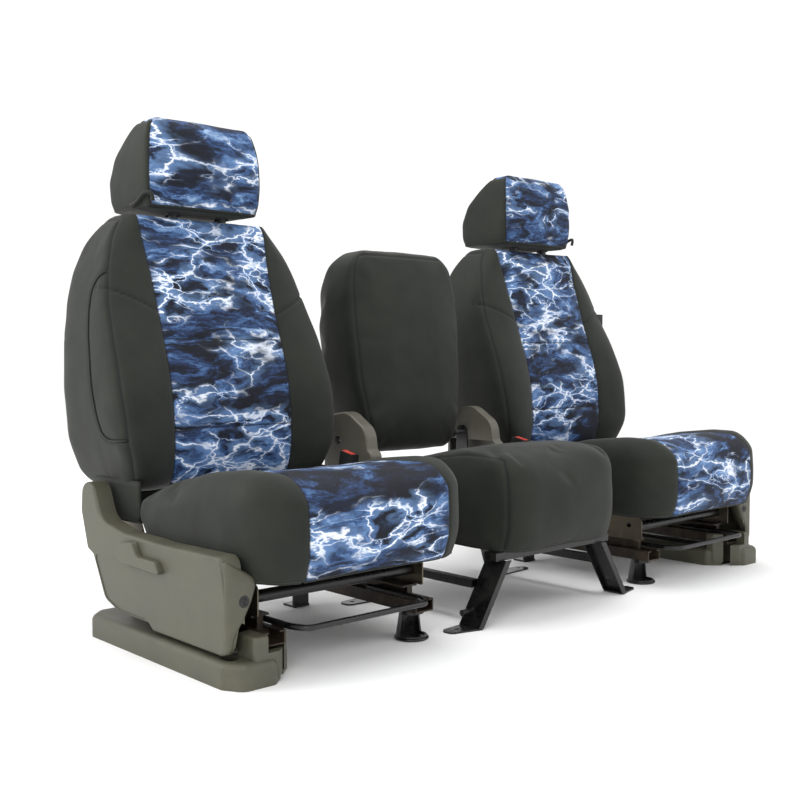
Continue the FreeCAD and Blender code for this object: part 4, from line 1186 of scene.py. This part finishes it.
@dataclass
class CentreBackrest(SoftBlock):
    """Centre backrest: a plain rounded front with a wide gusset all round."""

    size: tuple[float, float, float] = (0.394, 0.220, 0.526)
    corner: float = 0.044
    cap: float = 0.008
    base: float = 0.340
    wide: Run = Run(((0.340, .150), (0.372, .160), (0.429, .172), (0.529, .189), (0.666, .197),
                     (0.761, .195), (0.819, .184), (0.850, .168), (0.866, .158)), 0.04)
    front: Run = Run(((0.340, -.012), (0.372, -.026), (0.429, -.031), (0.529, -.017),
                      (0.605, -.010), (0.666, -.003), (0.761, .010), (0.819, .019),
                      (0.850, .026), (0.866, .030)), 0.04)
    rear: Run = Run(((0.340, .110), (0.372, .158), (0.429, .186), (0.529, .198), (0.666, .201),
                     (0.761, .192), (0.819, .172), (0.850, .150), (0.866, .140)), 0.04)

    def bend(self, at: np.ndarray) -> np.ndarray:
        """Bend block points to the centre backrest's shape."""
        x, y, z = at.T
        level = self.base + z + self.size[2] / 2
        share = x / (self.size[0] / 2)
        deep = (y + self.size[1] / 2) / self.size[1]
        face = self.front.at(level) + 0.010 * share ** 2 - 0.001
        back = self.rear.at(level) - 0.012 * share ** 4
        return np.stack([share * self.wide.at(level),
                         face + deep * (back - face) + FACE_Y, level], 1)

    def seam_rows(self) -> dict[str, list[int]]:
        """Seams between the front and the gusset."""
        return {word: self.edge_line(i, (Wall.FRONT,))
                for word, i in (("end_left", 0), ("end_right", self.last[0]))} | {
                    "top": [int(self.ids[i, 0, self.last[2]])
                            for i in range(self.last[0] + 1)]}


# ---- seats -------------------------------------------------------------------------------
@dataclass
class OuterSeats:
    """The two outer seats' covers, sewn once and turned over for the right."""

    wardrobe: Wardrobe
    sewing: Sewing

    def both(self, piece: bpy.types.Object, stem: str, body: str, nodes: Sequence[str],
             slot: str, fill: float) -> None:
        """Finish a left-hand piece and its right-hand copy."""
        other = turned_over(piece, f"right_{stem}")
        for hand, made in ((Hand.LEFT, piece), (Hand.RIGHT, other)):
            finish_soft(made, f"{hand.word}_{body}", [f"{hand.word}_{n}" for n in nodes])

    def trim_line(self, stem: str, path: np.ndarray, closed: bool, rolled: bool, body: str,
                  sizes: dict[str, float]) -> None:
        """Run a hem or stitches on both seats along a left-hand path."""
        cloth = self.wardrobe.charcoal if rolled else self.wardrobe.thread
        for hand in Hand:
            turned = path * np.array([hand.value, 1, 1])
            self.sewing.run(f"{hand.word}_{stem}", [turned], closed, rolled, cloth, sizes,
                            f"{hand.word}_{body}", "charcoal_knit")

    def backrests(self) -> None:
        """Sew the backrest covers."""
        block = OuterBackrest()
        opening = block.airbag_opening()
        carve = [(path, 0.0040, 0.0030) for path in block.wing_seams()]
        piece = block.sew_up("left_backrest_cover",
                             [self.wardrobe.charcoal, self.wardrobe.printed], carve)
        landed = drop_on(piece.data, opening, (-1, 0, 0))
        engrave(piece.data, landed, 0.0050, 0.0030)
        self.both(piece, "backrest_cover", "back", ("back_foam", "back_cover", "back_panel"),
                  "charcoal_knit", 0.85)
        for shift, stem in ((0.006, "airbag_stitches_inner"), (-0.006, "airbag_stitches_outer")):
            middle = np.array([-.298 - SEAT_SPACING, .020 + FACE_Y, .590])
            away = opening - middle
            away /= np.linalg.norm(away, axis=1, keepdims=True)
            line = drop_on(piece.data, opening + away * shift, (-1, 0, 0))
            line[:, 0] -= 0.0003
            self.trim_line(stem, line, False, False, "back",
                           AIRBAG_STITCH)
        rim = landed + np.array([-0.0002, 0, 0])
        self.trim_line("airbag_binding", rim, False, True, "back", {"Roll Radius": 0.0019})

    def tails(self) -> None:
        """Hang the backrest cover's lower edge round the recliner."""
        half = ((-.246, -.056), (-.255, .020), (-.256, .110), (-.244, .170), (-.200, .196))
        plan = smooth_path([*half, (0.0, .200), *[(-x, y) for x, y in half[::-1]]], 0.010, False)
        levels = np.linspace(0.330, 0.244, 8)
        points = [(x * (1 - 0.012 * row / 7) - SEAT_SPACING, y * (1 - 0.01 * row / 7) + FACE_Y, z)
                  for row, z in enumerate(levels) for x, y in plan]
        count = len(plan)
        quads = [(a, d, c, b) for a, b, c, d in strip_quads(len(levels), count)]
        for hand in Hand:
            turned = [(x * hand.value, y, z) for x, y, z in points]
            piece = new_piece(f"{hand.word}_backrest_tail", turned, [],
                              [q[::-1] if hand is Hand.RIGHT else q for q in quads],
                              self.wardrobe.charcoal)
            thicken(piece, 0.0028)
            piece.data.shade_smooth()
            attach(piece, f"{hand.word}_back")
        hem = np.array(points[-count:])
        self.trim_line("backrest_hem", hem, False, True, "back", {"Roll Radius": 0.0030})

    def tag(self) -> None:
        """Fold the blank woven label sewn into the right backrest's outboard seam."""
        plan = smooth_path([(.826, .3150), (.857, .3146), (.8595, .3165), (.857, .3184),
                            (.826, .3180)], 0.003, False)
        levels = (.672, .684, .696, .708, .720)
        points = [(x, y, z) for z in levels for x, y in plan]
        piece = new_piece("right_woven_tag", points, [], strip_quads(len(levels), len(plan)),
                          self.wardrobe.label)
        thicken(piece, 0.0007)
        piece.data.shade_smooth()
        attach(piece, "right_back")

    def tabs(self) -> None:
        """Roll the spare cloth at the headrest's lower outboard corner."""
        loop = smooth_path([(-.150, .150, .930), (-.155, .110, .934), (-.157, .084, .948),
                            (-.154, .066, .953), (-.147, .058, .946), (-.145, .060, .932)],
                           0.004, False) + np.array([-SEAT_SPACING, FACE_Y, 0])
        self.trim_line("headrest_tab", loop, False, True, "headrest", {"Roll Radius": 0.0042})

    def cushions(self) -> None:
        """Sew the cushion covers, their hems and stitches."""
        block = OuterCushion()
        piece = block.sew_up("left_cushion_cover_pad",
                             [self.wardrobe.charcoal, self.wardrobe.printed])
        self.both(piece, "cushion_cover_pad", "seat",
                  ("cushion_foam", "cushion_cover", "cushion_panel"), "charcoal_knit", 0.85)
        self.trim_line("cushion_hem", block.along(block.bottom_ring(1), -0.001), True, True,
                       "seat", CUSHION_ROLL)
        self.trim_line("cushion_hem_stitches", block.along(block.bottom_ring(5), 0.0004), True,
                       False, "seat", CLOTH_STITCH)

    def headrests(self) -> None:
        """Sew the headrest covers, their hems and stitches."""
        block = Headrest()
        piece = block.sew_up("left_headrest_cover_pad",
                             [self.wardrobe.charcoal, self.wardrobe.printed])
        self.both(piece, "headrest_cover_pad", "headrest",
                  ("headrest_foam", "headrest_cover", "headrest_panel"), "charcoal_knit", 0.9)
        self.trim_line("headrest_hem", block.along(block.bottom_ring(2), -0.0008), True, True,
                       "headrest", {"Roll Radius": 0.0030})
        self.trim_line("headrest_hem_stitches", block.along(block.bottom_ring(5), 0.0004), True,
                       False, "headrest", FINE_STITCH)

    def make(self) -> None:
        """Sew everything on the outer seats."""
        self.backrests()
        self.tails()
        self.cushions()
        self.headrests()
        self.tabs()
        self.tag()


@dataclass
class CentreSeat:
    """The centre seat's plain covers."""

    wardrobe: Wardrobe
    sewing: Sewing

    def make(self) -> None:
        """Sew the cushion and backrest covers, and the cushion's hem and stitches."""
        back = CentreBackrest()
        piece = back.sew_up("centre_backrest_pad", [self.wardrobe.charcoal])
        finish_soft(piece, "centre_back", ("centre_back_foam", "centre_back_cover"))
        cushion = CentreCushion()
        piece = cushion.sew_up("centre_cushion_pad", [self.wardrobe.charcoal])
        finish_soft(piece, "floor", ("centre_cushion_foam", "centre_cushion_cover"))
        self.sewing.run("centre_cushion_hem", [cushion.along(cushion.bottom_ring(1), -0.001)],
                        True, True, self.wardrobe.charcoal, CUSHION_ROLL, "floor",
                        "charcoal_knit")
        self.sewing.run("centre_cushion_hem_stitches",
                        [cushion.along(cushion.bottom_ring(5), 0.0004)], True, False,
                        self.wardrobe.thread, CLOTH_STITCH, "floor", "charcoal_knit")


# ---- mouldings ---------------------------------------------------------------------------
@dataclass
class TrimNose:
    """Front face of the side moulding, turned in under the cushion, with its screw well."""

    wardrobe: Wardrobe
    face: float = -0.4690
    edge: Run = Run(((0.060, -.298), (0.087, -.289), (0.120, -.266), (0.152, -.249),
                     (0.180, -.240), (0.192, -.243), (0.205, -.262), (0.216, -.282),
                     (0.226, -.299)), 0.02)
    well: tuple[float, float] = (-0.2700, 0.153)
    well_radius: float = 0.0085

    def shell(self) -> tuple[list, list]:
        """Points and quads of the turned-in face at the left seat."""
        levels = np.linspace(0.062, 0.226, 28)
        inner = self.edge.at(levels)
        points = []
        for z, x_in in zip(levels, inner):
            lean = 0.010 * max(0.0, (z - 0.185) / 0.041) ** 2 + 0.004 * max(
                0.0, (0.078 - z) / 0.016) ** 2
            y = self.face + lean
            turn = min(0.010, max(0.002, (x_in + 0.302) * 0.5))
            for x, back in ((-.3078, .0075), (-.3066, .0034), (-.3040, .0010)):
                points.append((x, y + back, z))
            for x in np.linspace(-.3005, max(x_in - turn, -.3000), 9):
                points.append((x, y, z))
            for bend in np.radians([22, 45, 67, 90]):
                points.append((x_in - turn + turn * math.sin(bend),
                               y + turn * (1 - math.cos(bend)), z))
            points.append((x_in, y + 0.030, z))
        return ([(x - SEAT_SPACING, y + FACE_Y, z) for x, y, z in points],
                strip_quads(len(levels), len(points) // len(levels)))

    def well_rings(self) -> list[tuple[float, float]]:
        """Radius and depth of the screw well's rings, from the rim to the socket."""
        r = self.well_radius
        return [(r + 0.0030, 0.0002), (r + 0.0014, -0.0012), (r, -0.0008), (r - 0.001, -0.0002),
                (r - 0.0016, -0.0004), (r * 0.62, -0.0010), (r * 0.55, -0.0024),
                (r * 0.40, -0.0022), (r * 0.32, -0.0004)]

    def make(self) -> None:
        """Build the face and the well on both seats."""
        for hand in Hand:
            points, quads = self.shell()
            self.put(f"{hand.word}_trim_nose", points, quads, hand, self.wardrobe.grey,
                     0.0025)
            rings, steps = self.well_rings(), 28
            points = [(self.well[0] + radius * math.cos(turn) - SEAT_SPACING,
                       self.face + FACE_Y + out, self.well[1] + radius * math.sin(turn))
                      for radius, out in rings
                      for turn in (2 * math.pi * i / steps for i in range(steps))]
            quads = [(r * steps + i, r * steps + (i + 1) % steps,
                      (r + 1) * steps + (i + 1) % steps, (r + 1) * steps + i)
                     for r in range(len(rings) - 1) for i in range(steps)]
            quads.append(tuple((len(rings) - 1) * steps + i for i in range(steps)))
            self.put(f"{hand.word}_screw_well", points, quads, hand, self.wardrobe.recess,
                     0.0)

    def put(self, name: str, points: list, quads: list, hand: Hand,
            material: bpy.types.Material, wall: float) -> None:
        """Make one moulded piece.

        Args:
            name: Name of the piece.
            points: Points on the left seat.
            quads: Faces, outward on the left.
            hand: Side it is made for.
            material: Its finish.
            wall: Wall thickness, or nothing for a closed face.
        """
        piece = new_piece(name, [(x * hand.value, y, z) for x, y, z in points], [],
                          [q[::-1] if hand is Hand.RIGHT else q for q in quads], material)
        if wall:
            thicken(piece, wall)
        piece.data.shade_smooth()
        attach(piece, f"{hand.word}_seat")


# ---- studio ------------------------------------------------------------------------------
@dataclass
class Studio:
    """Pale floor, soft lights and the camera."""

    eye: tuple[float, float, float] = (-1.933, -1.781, 0.596)
    azimuth: float = -42.43
    elevation: float = 2.47
    lens_mm: float = 48.35

    def lamp(self, name: str, place: Sequence[float], target: Sequence[float], size: float,
             watts: float) -> None:
        """Add a square soft light that looks at a target."""
        light = bpy.data.lights.new(name, "AREA")
        light.size, light.energy = size, watts
        lamp = bpy.data.objects.new(name, light)
        bpy.context.scene.collection.objects.link(lamp)
        lamp.location = place
        way = Vector(target) - Vector(place)
        lamp.rotation_euler = way.to_track_quat("-Z", "Y").to_euler()

    def floor(self) -> None:
        """Lay one wide white sheet, flat under the seats."""
        far = 30.0
        material, _, shader, _ = blank("white_studio_paper")
        sheet = new_piece("studio_floor",
                          [(-far, -far, 0), (far, -far, 0), (far, far, 0), (-far, far, 0)], [],
                          [(0, 1, 2, 3)], material)
        shader.inputs["Base Color"].default_value = linear("#ffffff")
        shader.inputs["Roughness"].default_value = 0.9
        shader.inputs["Specular IOR Level"].default_value = 0.1

    def camera(self) -> None:
        """Stand the camera at the front corner, level with the backrests."""
        lens = bpy.data.cameras.new("corner_camera")
        lens.lens, lens.sensor_width = self.lens_mm, 36.0
        camera = bpy.data.objects.new("corner_camera", lens)
        bpy.context.scene.collection.objects.link(camera)
        turn, tilt = math.radians(self.azimuth), math.radians(self.elevation)
        back = Vector((math.sin(turn) * math.cos(tilt), -math.cos(turn) * math.cos(tilt),
                       math.sin(tilt)))
        camera.location = self.eye
        camera.rotation_euler = (-back).to_track_quat("-Z", "Y").to_euler()
        bpy.context.scene.camera = camera

    def make(self) -> None:
        """Set up the whole studio."""
        self.floor()
        self.lamp("key_light", (-3.2, -2.4, 3.4), (0, 0.1, 0.4), 1.6, 46)
        self.lamp("side_light", (2.6, -3.0, 2.2), (0.2, 0, 0.4), 1.6, 14)
        self.lamp("rim_light", (-3.0, 1.6, 1.7), (-0.3, 0.3, 0.6), 1.4, 34)
        self.lamp("top_light", (0, 0.4, 3.6), (0, 0.2, 0), 2.0, 42)
        world = bpy.data.worlds.new("white_room")
        world.use_nodes = True
        tree = world.node_tree
        ground = tree.nodes["Background"]
        ground.inputs[0].default_value = (1, 1, 1, 1)
        seen = add_node(tree, "ShaderNodeLightPath")
        power = add_node(tree, "ShaderNodeMapRange", None, {"To Min": 1.0, "To Max": 1.06},
                         {"Value": seen.outputs["Is Camera Ray"]})
        tree.links.new(power.outputs[0], ground.inputs[1])
        bpy.context.scene.world = world
        bpy.context.scene.view_settings.view_transform = "Standard"
        self.camera()


def main() -> None:
    """Build the row in order."""
    logging.basicConfig(level=logging.INFO)
    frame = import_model()
    Studio().make()
    wardrobe = Wardrobe()
    wardrobe.dress(frame["nodes"])
    sewing = Sewing(wardrobe)
    for part in (OuterSeats(wardrobe, sewing), CentreSeat(wardrobe, sewing),
                 TrimNose(wardrobe)):
        part.make()
        LOG.info("%s done", type(part).__name__)


if __name__ == "__main__":
    main()
